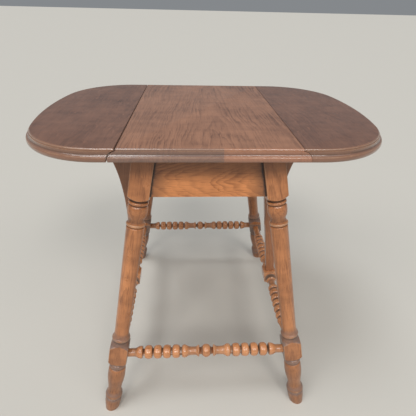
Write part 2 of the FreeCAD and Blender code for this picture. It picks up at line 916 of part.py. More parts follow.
board_screws = []
leaf_screws = []
for middle in hinge_middles:
    board_screws += [hinge_screw(at, 0) for at in hinge_screw_places(screw_rows, -1, middle)]
    leaf_screws += [hinge_screw(at, 0) for at in hinge_screw_places(leaf_screw_rows, 1, middle)]
board_screws += [mirrored(piece, True, False) for piece in board_screws]
save(Part.makeCompound(board_screws), "hinge_screws_top")
for side, flip_x in sides:
    group = [mirrored(piece, flip_x, False) for piece in leaf_screws]
    save(Part.makeCompound(group), "hinge_screws_leaf_" + side)
fixings = [mirrored(top_screw(0), flip_x, flip_y) for _, flip_x in sides for _, flip_y in ends]
save(Part.makeCompound(fixings), "top_screws")
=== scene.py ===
"""Butterfly drop-leaf table: turned and splayed legs, spool stretchers, rule-jointed leaves on wings."""

import cmath
import json
import math

import bmesh
import bpy
import numpy as np
from bpy.props import FloatProperty, FloatVectorProperty, IntProperty, PointerProperty
from mathutils import Matrix, Vector


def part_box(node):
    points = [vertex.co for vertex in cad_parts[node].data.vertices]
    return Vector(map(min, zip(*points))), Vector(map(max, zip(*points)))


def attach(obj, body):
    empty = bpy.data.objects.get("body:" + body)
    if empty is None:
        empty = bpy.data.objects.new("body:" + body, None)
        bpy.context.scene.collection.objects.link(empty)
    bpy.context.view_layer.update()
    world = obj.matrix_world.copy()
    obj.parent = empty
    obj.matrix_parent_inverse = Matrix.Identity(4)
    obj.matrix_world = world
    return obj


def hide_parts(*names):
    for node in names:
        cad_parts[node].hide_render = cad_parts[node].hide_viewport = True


bl_info = {
    "name": "Butterfly drop-leaf table",
    "version": (1, 0, 0),
    "blender": (4, 5, 0),
    "location": "3D View > Sidebar > Table",
    "description": "Dresses the table's frame in worn varnished wood and dull steel",
    "category": "Object",
}

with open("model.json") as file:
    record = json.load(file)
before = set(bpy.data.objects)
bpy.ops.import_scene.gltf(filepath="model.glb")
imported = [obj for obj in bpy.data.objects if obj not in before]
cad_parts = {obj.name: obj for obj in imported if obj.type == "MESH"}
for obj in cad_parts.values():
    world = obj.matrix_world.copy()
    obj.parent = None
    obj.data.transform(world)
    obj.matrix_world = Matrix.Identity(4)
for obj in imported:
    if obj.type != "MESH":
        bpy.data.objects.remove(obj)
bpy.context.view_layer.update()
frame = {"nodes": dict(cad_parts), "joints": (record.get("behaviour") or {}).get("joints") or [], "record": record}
joints = {joint["name"]: joint for joint in frame["joints"]}
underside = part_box("top_centre")[0].z


def length(label, words, value):
    return FloatProperty(name=label, description=words, default=value, unit="LENGTH", precision=4)


def amount(label, words, value):
    return FloatProperty(name=label, description=words, default=value, min=0.0, max=1.0, subtype="FACTOR")


def angle(label, words, degrees):
    return FloatProperty(name=label, description=words, default=math.radians(degrees), subtype="ANGLE")


def colour(label, words, value):
    return FloatVectorProperty(
        name=label, description=words, default=value, size=3, min=0.0, max=1.0, subtype="COLOR"
    )


def early(piece, value):
    return colour(piece.capitalize() + ", light", "Early wood of the " + piece, value)


def late(piece, value):
    return colour(piece.capitalize() + ", dark", "Late wood of the " + piece, value)


class TableSizes(bpy.types.PropertyGroup):
    """Sizes of the turned and moulded work."""

    top_width: length("Top width", "Across both leaves at the arris", 0.722)
    top_depth: length("Top depth", "Front to back at the arris", 0.516)
    end_radius: length("End radius", "Sweep of a leaf's end", 0.7)
    corner_radius: length("Corner radius", "Sweep of a leaf's corners", 0.158)
    edge_inset: length("Edge inset", "How far the moulded edge reaches in from the arris", 0.0034)
    joint_place: length("Joint place", "From the middle of the top to a rule joint", 0.16)
    joint_radius: length("Joint radius", "Hollow of a leaf's rule joint about its hinge pin", 0.0146)
    joint_gap: length("Joint gap", "Wear that opens the left rule joint at the front", 0.0024)
    stave_place: length("Stave place", "Where the centre board's redder stave begins", 0.022)
    spool_radius: length("Spool radius", "Crest of a stretcher's beads", 0.0156)
    ball_radius: length("Ball radius", "Crest of the ball in the middle", 0.0152)
    ball_half: length("Ball half length", "From the ball's crest to its groove", 0.0103)
    lip_radius: length("Lip radius", "Crest of a vase's lip", 0.0142)
    lip_spacing: length("Lip spacing", "Groove between the ball or block and a vase's lip", 0.006)
    vase_radius: length("Vase radius", "Crest of the stretcher's vases", 0.0149)
    vase_length: length("Vase length", "From a vase's lip to its foot", 0.0425)
    drop_radius: length("Drop radius", "Crest of the drops at the ends", 0.0146)
    front_drop: length("Front drop", "A drop and its tail on the front and back stretchers", 0.0215)
    front_neck: length("Front neck", "Neck between that drop and the leg", 0.014)
    side_drop: length("Side drop", "A drop and its tail on the side stretchers", 0.051)
    side_neck: length("Side neck", "Neck between that drop and the leg", 0.016)
    front_bored: length("Front bored end", "End of a front or back stretcher inside its leg", 0.010845)
    side_bored: length("Side bored end", "End of a side stretcher inside its leg", 0.01078)
    groove_radius: length("Groove radius", "Floor of the grooves between beads", 0.0095)
    neck_radius: length("Neck radius", "Thin ends of a stretcher", 0.0096)
    bead_pitch: length("Bead pitch", "From one bead to the next, before they are fitted in", 0.0219)
    bead_share: amount("Bead share", "Part of the pitch that a bead fills above its feet", 0.74)
    bead_spread: amount("Bead spread", "Part of the pitch that a bead and its feet fill", 0.86)
    pivot_block: length("Pivot block", "Square block that a wing stands on", 0.036)
    pivot_flat: length("Pivot flat", "Half of the part of that block that is left full", 0.016)
    pivot_half: length("Pivot half length", "From the middle of that block to its groove", 0.025)
    leg_stock: length("Leg stock", "Square that a leg is turned from", 0.042)
    block_above: length("Block above", "Square left on a leg above the stretchers' line", 0.035)
    block_below: length("Block below", "Square left on a leg below the stretchers' line", 0.0195)
    shoulder_rise: length("Shoulder rise", "How far a rounded shoulder runs in at the corners", 0.0125)
    segments: IntProperty(name="Segments", description="Facets round a stretcher", default=56, min=12)
    leg_segments: IntProperty(name="Leg segments", description="Facets round a shoulder", default=96, min=12)


class TableFinish(bpy.types.PropertyGroup):
    """Colours of the finish."""

    centre_light: early("centre board", (0.365, 0.172, 0.099))
    centre_dark: late("centre board", (0.085, 0.034, 0.020))
    leaf_light: early("leaves", (0.225, 0.104, 0.064))
    leaf_dark: late("leaves", (0.075, 0.033, 0.022))
    apron_light: early("aprons", (0.74, 0.288, 0.097))
    apron_dark: late("aprons", (0.24, 0.072, 0.020))
    leg_light: early("legs", (0.57, 0.228, 0.086))
    leg_dark: late("legs", (0.16, 0.052, 0.019))
    # The wings' wood is set darker than the legs' wood, as painted shade under the leaves.
    wing_shaded_light: early("wings", (0.41, 0.172, 0.078))
    wing_shaded_dark: late("wings", (0.13, 0.045, 0.019))
    spool_light: early("stretchers", (0.66, 0.285, 0.118))
    spool_dark: late("stretchers", (0.26, 0.092, 0.036))
    worn_wood: colour("Worn wood", "Bare wood where the finish is rubbed off", (0.52, 0.33, 0.20))
    leaf_edge: colour("Leaf edge", "Moulded edge of the leaves", (0.275, 0.135, 0.079))
    grey_edge: colour("Greyer edge", "Moulded edge of the centre board", (0.19, 0.117, 0.094))
    red_edge: colour("Redder edge", "Moulded edge of the centre board's redder stave", (0.39, 0.172, 0.100))
    # This tint colours old dirt in hollows, and also the painted shade under the top on the legs, aprons and
    # wings.
    grime_and_shade: colour("Grime and shade", "Old dirt in the hollows", (0.045, 0.024, 0.016))
    dust: colour("Dust", "Grey dust between the stretchers' beads", (0.145, 0.098, 0.072))
    # This grey is dust, and also painted sheen on the legs' upward-facing shoulders and rings.
    leg_dust_and_sheen: colour("Leg dust", "Grey dust on the legs' shoulders and lower grooves", (0.175, 0.132, 0.118))
    block_wood: colour("Block wood", "Unfinished corner blocks", (0.46, 0.30, 0.17))
    steel: colour("Steel", "Hinges, pins and screws", (0.19, 0.175, 0.155))
    rust: colour("Rust", "Brown bloom on the steel", (0.11, 0.055, 0.03))


class TableStage(bpy.types.PropertyGroup):
    """Floor, light and camera."""

    floor: colour("Floor", "Plain pale floor", (0.56, 0.535, 0.485))
    floor_half: length("Floor half width", "From the middle of the floor to its edge", 60.0)
    sky: colour("Sky", "Soft light from all round", (0.90, 0.95, 1.0))
    sky_strength: amount("Sky strength", "Level of the light from all round", 0.26)
    lens: FloatProperty(name="Lens", description="Focal length on 36 mm film", default=29.09, unit="CAMERA")
    eye_x: length("Eye across", "Camera's place to the right of the table's middle", -0.03502)
    eye_y: length("Eye ahead", "Camera's place behind the table's middle", -0.79176)
    eye_z: length("Eye height", "Camera's place above the floor", 0.89426)
    pitch: angle("Pitch", "How far the camera looks down", 31.249)
    yaw: angle("Yaw", "How far the camera looks to the right", 3.4126)
    roll: angle("Roll", "How far the camera is turned about its line of sight", 1.3926)


def between(low, high, part):
    """The value a part of the way from low to high."""
    return low + (high - low) * part


def polyline_arc(start, middle, end, steps):
    """Points along the arc from start through middle to end, without its first point."""
    first, through, last = (complex(*place) for place in (start, middle, end))
    ratio = (last - first) / (through - first)
    centre = first + (through - first) * (ratio - abs(ratio) ** 2) / (2j * ratio.imag)
    sweep = cmath.phase((last - centre) / (first - centre)) % math.tau
    if ratio.imag < 0:
        sweep -= math.tau
    turns = [centre + (first - centre) * cmath.rect(1, sweep * k / steps) for k in range(1, steps + 1)]
    return [(turned.real, turned.imag) for turned in turns]


def floats(*labels):
    return dict.fromkeys(labels, "Float")


def new_group(name, kind, inputs, outputs):
    """A node group with sockets given as label: type, and what it takes in and gives out."""
    tree = bpy.data.node_groups.new(name, kind)
    for way, sockets in (("INPUT", inputs), ("OUTPUT", outputs)):
        for label, socket in sockets.items():
            tree.interface.new_socket(name=label, in_out=way, socket_type="NodeSocket" + socket)
    return tree, tree.nodes.new("NodeGroupInput").outputs, tree.nodes.new("NodeGroupOutput").inputs


def put(tree, kind, settings=None, **links):
    """A node with its settings, and inputs given as values or as sockets to link from."""
    node = tree.nodes.new(kind)
    for key, value in (settings or {}).items():
        setattr(node, key, value)
    for key, value in links.items():
        target = node.inputs[int(key[2:]) if key.startswith("at") else key.replace("_", " ")]
        if isinstance(value, bpy.types.NodeSocket):
            tree.links.new(value, target)
        else:
            target.default_value = value
    return node


def result(tree, kind, settings=None, **links):
    """The first output of such a node."""
    return put(tree, kind, settings, **links).outputs[0]


def sums(tree, operation, first, second=0.0, third=None):
    """The result of a Math node."""
    links = {"at0": first, "at1": second}
    if third is not None:
        links["at2"] = third
    return result(tree, "ShaderNodeMath", {"operation": operation}, **links)


def times(tree, first, second, plus=0.0):
    return sums(tree, "MULTIPLY_ADD", first, second, plus)


def clamped(tree, value):
    return result(tree, "ShaderNodeClamp", Value=value)


def above(tree, value, level, gain):
    """A mask of where a value stands above a level; the gain sets how sharp its edge is."""
    return clamped(tree, times(tree, sums(tree, "SUBTRACT", value, level), gain))


def blended(tree, factor, first, second):
    """Two colours mixed by a mask."""
    return put(tree, "ShaderNodeMix", {"data_type": "RGBA"}, at0=factor, at6=first, at7=second).outputs[2]


def noise(tree, vector, scale, detail=3.0, rough=0.55):
    node = put(tree, "ShaderNodeTexNoise", Vector=vector, Scale=scale, Detail=detail, Roughness=rough)
    return node.outputs[0]


def stretched(tree, vector, across, along):
    """Coordinates drawn out along the grain."""
    return result(tree, "ShaderNodeMapping", Vector=vector, Scale=(across, across, along))


def split(tree, vector):
    return put(tree, "ShaderNodeSeparateXYZ", Vector=vector).outputs


def point(tree, **axes):
    return result(tree, "ShaderNodeCombineXYZ", **axes)


def figure_group():
    """Growth rings, pores, flecks and slow drift of sawn wood; the grain runs along the vector's Z."""
    inputs = {"Vector": "Vector", **floats("Spacing", "Heart", "Rise", "Wander")}
    outputs = floats("Rings", "Pores", "Drift", "Flecks")
    tree, inlet, outlet = new_group("Sawn wood figure", "ShaderNodeTree", inputs, outputs)
    vector = inlet["Vector"]
    axes = split(tree, vector)
    slow = noise(tree, stretched(tree, vector, 1.0, 0.25), 14.0, 2.0)
    fine = noise(tree, stretched(tree, vector, 1.0, 0.14), 75.0, 3.0)
    patch = noise(tree, stretched(tree, vector, 1.0, 0.4), 17.0, 2.0)
    shift = times(tree, sums(tree, "SUBTRACT", slow, 0.5), inlet["Wander"])
    across = sums(tree, "POWER", sums(tree, "ADD", axes["X"], shift), 2.0)
    deep = sums(tree, "POWER", sums(tree, "ADD", axes["Y"], inlet["Heart"]), 2.0)
    reach = sums(tree, "SQRT", sums(tree, "ADD", across, deep))
    climb = times(tree, axes["Z"], inlet["Rise"], reach)
    ripple = times(tree, sums(tree, "SUBTRACT", fine, 0.5), times(tree, inlet["Spacing"], 2.0))
    years = sums(tree, "DIVIDE", sums(tree, "ADD", climb, ripple), inlet["Spacing"])
    lean = put(tree, "ShaderNodeTexNoise", {"noise_dimensions": "1D"}, W=years, Scale=0.45, Detail=1.0)
    turn = sums(tree, "FRACT", times(tree, lean.outputs[0], 2.2, years))
    dark = sums(tree, "POWER", turn, 2.2)
    fall = sums(tree, "SUBTRACT", 1.0, sums(tree, "POWER", turn, 14.0))
    shown = clamped(tree, times(tree, patch, 2.6, -0.75))
    tree.links.new(times(tree, times(tree, dark, fall), shown), outlet["Rings"])
    streaks = noise(tree, stretched(tree, vector, 1.0, 0.028), 950.0, 2.0, 0.6)
    tree.links.new(above(tree, streaks, 0.56, 7.0), outlet["Pores"])
    lengthwise = noise(tree, stretched(tree, vector, 1.0, 0.3), 26.0, 4.0, 0.6)
    crosswise = noise(tree, stretched(tree, vector, 0.35, 1.0), 34.0, 4.0, 0.6)
    tree.links.new(times(tree, lengthwise, 0.5, times(tree, crosswise, 0.5)), outlet["Drift"])
    rays = noise(tree, stretched(tree, vector, 1.0, 0.22), 190.0, 2.0, 0.5)
    shown = clamped(tree, times(tree, crosswise, 5.0, -2.2))
    tree.links.new(times(tree, above(tree, rays, 0.57, 7.0), shown), outlet["Flecks"])
    return tree


def finish_group():
    """Old varnish: dirt in the hollows, and painted shade where the Hollow mask carries it, rubbed crests,
    blotches and an uneven gloss.
    """
    inputs = dict.fromkeys(("Color", "Grime and shade", "Worn"), "Color")
    inputs.update({"Vector": "Vector", **floats("Hollow", "Crest", "Dirt", "Rub", "Gloss")})
    outputs = {"Color": "Color", "Roughness": "Float"}
    tree, inlet, outlet = new_group("Old varnish", "ShaderNodeTree", inputs, outputs)
    cloud = noise(tree, inlet["Vector"], 38.0, 4.0, 0.65)
    speck = noise(tree, inlet["Vector"], 260.0, 3.0, 0.6)
    # The hollow mask darkens the colour towards the dirt tint: dirt in hollows, and painted shade under the top on
    # legs, aprons and wings.
    dirt = times(tree, inlet["Hollow"], times(tree, cloud, 0.9, 0.45))
    dirt = clamped(tree, times(tree, dirt, inlet["Dirt"]))
    patchy = times(tree, speck, 0.6, times(tree, cloud, 0.8))
    bare = above(tree, sums(tree, "ADD", inlet["Crest"], patchy), 1.28, 3.2)
    bare = times(tree, bare, inlet["Rub"])
    tint = blended(tree, dirt, inlet["Color"], inlet["Grime and shade"])
    tree.links.new(blended(tree, bare, tint, inlet["Worn"]), outlet["Color"])
    dull = times(tree, dirt, 0.25, inlet["Gloss"])
    dull = times(tree, bare, 0.2, dull)
    dull = times(tree, sums(tree, "SUBTRACT", cloud, 0.5), 0.16, dull)
    tree.links.new(dull, outlet["Roughness"])
    return tree


def rgba(value):
    return (*value, 1.0)


def new_material(name):
    """An empty material and its node tree."""
    material = bpy.data.materials.new(name)
    material.use_nodes = True
    material.node_tree.nodes.clear()
    return material, material.node_tree


def surface(tree, **links):
    """The shader of a material, with these inputs, joined to its output."""
    shader = put(tree, "ShaderNodeBsdfPrincipled", **links)
    put(tree, "ShaderNodeOutputMaterial", Surface=shader.outputs[0])


def effect(tree, name, maker, values, **links):
    """A shared node group, made at its first use, with its settings and links."""
    group = bpy.data.node_groups.get(name) or maker()
    node = put(tree, "ShaderNodeGroup", {"node_tree": group}, **links)
    for label, value in values.items():
        node.inputs[label].default_value = value
    return node.outputs


def reading(tree, attribute):
    return put(tree, "ShaderNodeAttribute", {"attribute_name": attribute}).outputs


def relief(tree, height, strength, depth):
    return result(tree, "ShaderNodeBump", Strength=strength, Distance=depth, Height=height)


def wood_finish(
    name, tints, figure, wear, bands, pores, mottle, flecks=0.0, coat=0.0, dust=None, rim=None, stave=None
):
    """Varnished wood. Tints are its light, dark, rubbed and dirt colours, the dirt tint also giving painted shade;
    figure and wear set the shared groups; bands, pores, mottle and flecks say how strongly the figure shows; dust
    is the colour of a loose grey cover, on the legs also painted sheen; rim is the colour of a glossy edge; stave
    is the X past which that changes, and the new colour."""
    if name in bpy.data.materials:
        return bpy.data.materials[name]
    material, tree = new_material(name)
    grain = reading(tree, "grain")["Vector"]
    wood = effect(tree, "Sawn wood figure", figure_group, figure, Vector=grain)
    tone = times(tree, wood["Rings"], bands, times(tree, wood["Pores"], pores))
    drift = times(tree, sums(tree, "SUBTRACT", wood["Drift"], 0.4), mottle * 2.6)
    tone = clamped(tree, sums(tree, "ADD", tone, drift))
    light, dark, rubbed, grime_and_shade_tint = (rgba(tint) for tint in tints)
    pale = rgba([part * 1.7 for part in light[:3]])
    stain = blended(tree, tone, light, dark)
    stain = blended(tree, times(tree, wood["Flecks"], flecks), stain, pale)
    if rim is not None:
        edge = reading(tree, "rim")["Fac"]
        rim = rgba(rim)
        if stave is not None:
            begin, other = stave
            place = split(tree, put(tree, "ShaderNodeTexCoord").outputs["Object"])["X"]
            rim = blended(tree, sums(tree, "GREATER_THAN", place, begin), rim, rgba(other))
        stain = blended(tree, times(tree, edge, 0.6), stain, rim)
        coat = times(tree, edge, 0.75, coat)
    wear_masks = {label: reading(tree, label.lower())["Fac"] for label in ("Hollow", "Crest")}
    colours = {"Color": stain, "Grime and shade": grime_and_shade_tint, "Worn": rubbed}
    varnish = effect(tree, "Old varnish", finish_group, wear, Vector=grain, **wear_masks, **colours)
    tint = varnish["Color"]
    # The dust cover is dust, and on the legs also painted sheen.
    if dust is not None:
        patchy = times(tree, noise(tree, grain, 130.0, 3.0, 0.6), 1.3, 0.3)
        cover = clamped(tree, times(tree, reading(tree, "dust")["Fac"], patchy))
        tint = blended(tree, cover, tint, rgba(dust))
    height = times(tree, wood["Pores"], -1.0, times(tree, wood["Rings"], -0.35))
    surface(
        tree,
        Base_Color=tint,
        Roughness=varnish["Roughness"],
        Normal=relief(tree, height, 0.22, 0.0004),
        Coat_Weight=coat,
        Coat_Roughness=0.14,
    )
    return material


def steel_finish(looks):
    """Dull old steel with a brown bloom."""
    name = "dull steel"
    if name in bpy.data.materials:
        return bpy.data.materials[name]
    material, tree = new_material(name)
    place = put(tree, "ShaderNodeTexCoord").outputs["Object"]
    scratch = noise(tree, stretched(tree, place, 1.0, 0.05), 1400.0, 2.0)
    rust = above(tree, noise(tree, place, 90.0, 5.0, 0.65), 0.52, 4.0)
    surface(
        tree,
        Base_Color=blended(tree, times(tree, rust, 0.6), rgba(looks.steel), rgba(looks.rust)),
        Metallic=times(tree, rust, -0.5, 0.95),
        Roughness=times(tree, rust, 0.3, times(tree, scratch, 0.2, 0.3)),
        Normal=relief(tree, scratch, 0.15, 0.0003),
    )
    return material


def body_of(node):
    """The body that carries a CAD node."""
    for body, members in frame["record"]["behaviour"]["bodies"].items():
        if node in members:
            return body
    raise ValueError(node)


def nodes_named(start):
    return sorted(node for node in frame["nodes"] if node.startswith(start))


def positions(mesh):
    flat = np.empty(len(mesh.vertices) * 3, np.float32)
    mesh.vertices.foreach_get("co", flat)
    return flat.reshape(-1, 3).astype(float)


def store(mesh, name, values):
    """Per-vertex numbers, or vectors, under an attribute name."""
    values = np.asarray(values, np.float32)
    vector = values.ndim == 2
    layer = mesh.attributes.new(name, "FLOAT_VECTOR" if vector else "FLOAT", "POINT")
    layer.data.foreach_set("vector" if vector else "value", values.ravel())


def near(values, middle, width, strength=1.0):
    """The strength at the middle, falling to 0 a width away."""
    return np.clip(1 - np.abs(values - middle) / width, 0, 1) * strength


def fading(distance, reach, strength):
    """The strength up to distance 0, falling to 0 at the reach."""
    return np.clip(1 - distance / reach, 0, 1) * strength


def grain_axes(along, face):
    """Rows that turn a place into (across, deep, along) for a board with this length and face."""
    along = Vector(along).normalized()
    face = Vector(face)
    face = (face - along * face.dot(along)).normalized()
    return np.array([face.cross(along), face, along])


def add_grain(mesh, origin, axes, shift):
    """Grain coordinates of a piece, shifted so that no two pieces share a figure."""
    store(mesh, "grain", (positions(mesh) - np.array(origin)) @ axes.T + np.array(shift))


def new_object(name, data):
    """An object with this data, in the scene."""
    item = bpy.data.objects.new(name, data)
    bpy.context.scene.collection.objects.link(item)
    return item


def place_piece(mesh, name, material, node, smooth=32.0):
    """A finished piece that stands for a CAD node and moves with its body. Edges that bend by less than
    smooth, in degrees, are shaded as round."""
    mesh.name = name
    mesh.materials.clear()
    mesh.materials.append(material)
    for face in mesh.polygons:
        face.use_smooth = True
    mesh.set_sharp_from_angle(angle=math.radians(smooth))
    piece = new_object(name, mesh)
    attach(piece, body_of(node))
    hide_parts(node)
    return piece


def joined_mesh(source, cuts=()):
    """A copy of a mesh as one closed skin; cuts are planes that add points for wear to lie on."""
    weld, skim = 2e-6, 1e-6
    work = bmesh.new()
    work.from_mesh(source)
    bmesh.ops.remove_doubles(work, verts=work.verts, dist=weld)
    for place, facing in cuts:
        parts = work.verts[:] + work.edges[:] + work.faces[:]
        bmesh.ops.bisect_plane(work, geom=parts, plane_co=place, plane_no=facing, dist=skim)
    mesh = bpy.data.meshes.new("joined skin")
    work.to_mesh(mesh)
    work.free()
    for layer in [item for item in mesh.attributes if item.name == "custom_normal"]:
        mesh.attributes.remove(layer)
    return mesh


def made_mesh(carrier, modifier):
    """The plain mesh that a modifier makes of its carrier; the modifier is removed."""
    graph = bpy.context.evaluated_depsgraph_get()
    mesh = bpy.data.meshes.new_from_object(carrier.evaluated_get(graph), depsgraph=graph)
    carrier.modifiers.remove(modifier)
    return mesh


def board_mesh(node, along, face, shift, cuts=()):
    """A plain wooden piece of the frame with its grain laid along it."""
    low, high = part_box(node)
    mesh = joined_mesh(frame["nodes"][node].data, cuts)
    add_grain(mesh, (low + high) / 2, grain_axes(along, face), shift)
    return mesh


def level_cuts(low, high, step):
    """Level planes from one height to another."""
    return [((0, 0, level), (0, 0, 1)) for level in np.arange(low, high, step)]


def outline_depth(sizes, points):
    """How far points lie inside the top's arris, less than nought outside it."""
    x = np.abs(points[:, 0])
    y = np.abs(points[:, 1])
    end_x = sizes.top_width / 2 - sizes.end_radius
    corner_y = sizes.top_depth / 2 - sizes.corner_radius
    corner_x = end_x + math.sqrt((sizes.end_radius - sizes.corner_radius) ** 2 - corner_y ** 2)
    slope = corner_y / (corner_x - end_x)
    in_end = y < (x - end_x) * slope
    end = sizes.end_radius - np.hypot(x - end_x, y)
    corner = sizes.corner_radius - np.hypot(x - corner_x, np.maximum(y - corner_y, 0.0))
    straight = sizes.top_depth / 2 - y
    return np.where(x < corner_x, straight, np.where(in_end, end, corner))


# Wear on the moulded edge: depth below the top, reach to both sides, strength
COVE_DIRT = (0.0100, 0.0028)
LEDGE_DIRT = (0.0056, 0.0010, 0.7)
# Lighter lines on the arris, ledge and lower round: rubbing, and painted highlights along the moulding.
EDGE_RUBS_AND_HIGHLIGHTS = ((0.0016, 0.0016), (0.0042, 0.0010), (0.0135, 0.0015))

# Wear along the rule joints: reach to both sides, depth, and planes on either side of a joint
JOINT_REACH = 0.0035
JOINT_DEPTH = 0.0015
JOINT_PLANES = (-0.0036, -0.001, 0.0036, 0.0064)


def add_edge_wear(mesh, sizes, joint_crest, joint_dirt):
    """Dirt in the moulded edge's cove, rubbing and painted highlights on its arris, ledge and lower round, and
    both dirt and rubbing along the rule joints."""
    points = positions(mesh)
    depth = points[:, 2].max() - points[:, 2]
    skin = 5e-5
    rim = (outline_depth(sizes, points) < sizes.edge_inset) & (depth > skin) & (depth < depth.max() - skin)
    hollow = np.maximum(near(depth, *COVE_DIRT), near(depth, *LEDGE_DIRT))
    crest = np.maximum.reduce([near(depth, *rub) for rub in EDGE_RUBS_AND_HIGHLIGHTS])
    beside = near(np.abs(points[:, 0]), sizes.joint_place, JOINT_REACH) * (depth < JOINT_DEPTH)
    store(mesh, "hollow", np.where(rim, hollow, beside * joint_dirt))
    store(mesh, "crest", np.where(rim, crest, beside * joint_crest))
    store(mesh, "rim", rim)


def top_board(node, sizes, shift):
    """A board of the top, its grain running front to back, with points beside the rule joints."""
    places = [side * (sizes.joint_place + step) for side in (-1, 1) for step in JOINT_PLANES]
    return board_mesh(node, (0, -1, 0), (0, 0, 1), shift, [((place, 0, 0), (1, 0, 0)) for place in places])


def top_finish(looks, name, light, dark, figure, strengths, **edge):
    """Worn satin varnish of the top; edge gives the colours of its moulded edge."""
    wear = {"Dirt": 0.7, "Rub": 0.3, "Gloss": 0.34}
    tints = (light, dark, looks.worn_wood, looks.grime_and_shade)
    return wood_finish(name, tints, figure, wear, pores=0.4, coat=0.25, **strengths, **edge)


STRAIGHT = {"Spacing": 0.0062, "Heart": 0.06, "Rise": 0.05, "Wander": 0.03}
FLAME = {"Spacing": 0.0075, "Heart": 0.014, "Rise": -0.3, "Wander": 0.035}


def frame_finish(looks, name, tints, figure=STRAIGHT, gloss=0.3, coat=0.35, mottle=0.55, dust=None):
    """Varnish of the legs, aprons, wings and stretchers; tints are its light, dark and dirt colours, the dirt tint
    also giving painted shade under the top on legs, aprons and wings.
    """
    light, dark, grime_and_shade_tint = tints
    wear = {"Dirt": 0.95, "Rub": 0.45, "Gloss": gloss}
    strengths = {"bands": 0.75, "pores": 0.6, "mottle": mottle, "coat": coat}
    return wood_finish(name, (light, dark, looks.worn_wood, grime_and_shade_tint), figure, wear, dust=dust, **strengths)


def sizes_and_looks(context):
    """Sizes and colours of the table."""
    return context.scene.table_sizes, context.scene.table_finish


class TABLE_OT_centre_board(bpy.types.Operator):
    """Centre board of the top, its grain running front to back"""

    bl_idname = "table.centre_board"
    bl_label = "Centre board"

    def execute(self, context):
        sizes, looks = sizes_and_looks(context)
        figure = {"Spacing": 0.0066, "Heart": 0.03, "Rise": -0.05, "Wander": 0.05}
        look = (looks.centre_light, looks.centre_dark, figure, {"bands": 0.8, "mottle": 0.6, "flecks": 0.25})
        stave = (sizes.stave_place, looks.red_edge)
        finish = top_finish(looks, "centre board wood", *look, rim=looks.grey_edge, stave=stave)
        mesh = top_board("top_centre", sizes, (-0.012, 0, 0.3))
        add_edge_wear(mesh, sizes, joint_crest=0.55, joint_dirt=0.4)
        place_piece(mesh, "centre_board", finish, "top_centre")
        return {"FINISHED"}


def open_joint(mesh, sizes):
    """Wear the left leaf's hollow back from the centre board, most at the front."""
    pin = joints["leaf_left_hinge"]["pos_m"]
    slack = 0.0001
    arris = 0.0009
    for corner in mesh.vertices:
        across, level = pin[0] - corner.co.x, corner.co.z - pin[2]
        on_arc = level > -slack and abs(math.hypot(across, level) - sizes.joint_radius) < slack
        on_foot = level < slack and abs(across - sizes.joint_radius) < slack
        if on_arc or on_foot or across < arris:
            corner.co.x -= sizes.joint_gap * (0.65 - 0.35 * corner.co.y / (sizes.top_depth / 2))


class TABLE_OT_leaves(bpy.types.Operator):
    """The two drop leaves"""

    bl_idname = "table.leaves"
    bl_label = "Leaves"

    def execute(self, context):
        sizes, looks = sizes_and_looks(context)
        figure = {"Spacing": 0.0085, "Heart": 0.09, "Rise": 0.08, "Wander": 0.07}
        look = (looks.leaf_light, looks.leaf_dark, figure, {"bands": 0.45, "mottle": 0.85, "flecks": 0.6})
        finish = top_finish(looks, "leaf wood", *look, rim=looks.leaf_edge)
        left = top_board("leaf_left", sizes, (0.05, 0, 1.7))
        add_edge_wear(left, sizes, joint_crest=0.8, joint_dirt=0.0)
        open_joint(left, sizes)
        place_piece(left, "leaf_left_board", finish, "leaf_left")
        right = top_board("leaf_right", sizes, (-0.04, 0, 3.1))
        add_edge_wear(right, sizes, joint_crest=0.3, joint_dirt=0.5)
        place_piece(right, "leaf_right_board", finish, "leaf_right")
        return {"FINISHED"}


def leg_axis(node):
    """Foot and head of a leg's axis, from the middles of its two sawn ends."""
    points = positions(frame["nodes"][node].data)
    skin = 2e-5
    ends = []
    for level in (0.0, underside):
        ring = points[np.abs(points[:, 2] - level) < skin]
        ends.append(Vector((ring.min(axis=0) + ring.max(axis=0)) / 2))
    return ends


def turned_wear(mesh, origin, along):
    """Dirt in a turning's grooves and rubbing on its rings, from how it swells and narrows."""
    step, margin, blur, full = 0.0005, 0.03, 0.0055, 0.0016
    points = positions(mesh) - np.array(origin)
    along = np.array(along)
    height = points @ along
    radius = np.linalg.norm(points - np.outer(height, along), axis=1)
    bins = np.arange(height.min() - margin, height.max() + margin, step)
    widest = np.full(len(bins), np.nan)
    for place, size in zip(np.searchsorted(bins, height), radius):
        if not widest[place] >= size:
            widest[place] = size
    known = ~np.isnan(widest)
    widest = np.interp(bins, bins[known], widest[known])
    side = 40
    spread = np.exp(-0.5 * (np.arange(-side, side + 1) * step / blur) ** 2)
    mean = np.convolve(np.pad(widest, side, mode="edge"), spread / spread.sum(), mode="valid")
    swell = np.interp(height, bins, widest - mean) / full
    return np.clip(-swell, 0, 1), np.clip(swell, 0, 1)


def crease_edges(mesh, facings, on_square):
    """Edges where the turning runs into a square face; on_square marks the points that lie on one."""
    flush = 0.9999
    work = bmesh.new()
    work.from_mesh(mesh)
    flat = {}
    for face in work.faces:
        level = max(abs(face.normal.dot(Vector(way))) for way in facings) > flush
        flat[face] = level and all(on_square[corner.index] for corner in face.verts)
    edges = [edge.index for edge in work.edges if len({flat[face] for face in edge.link_faces}) == 2]
    work.free()
    return edges


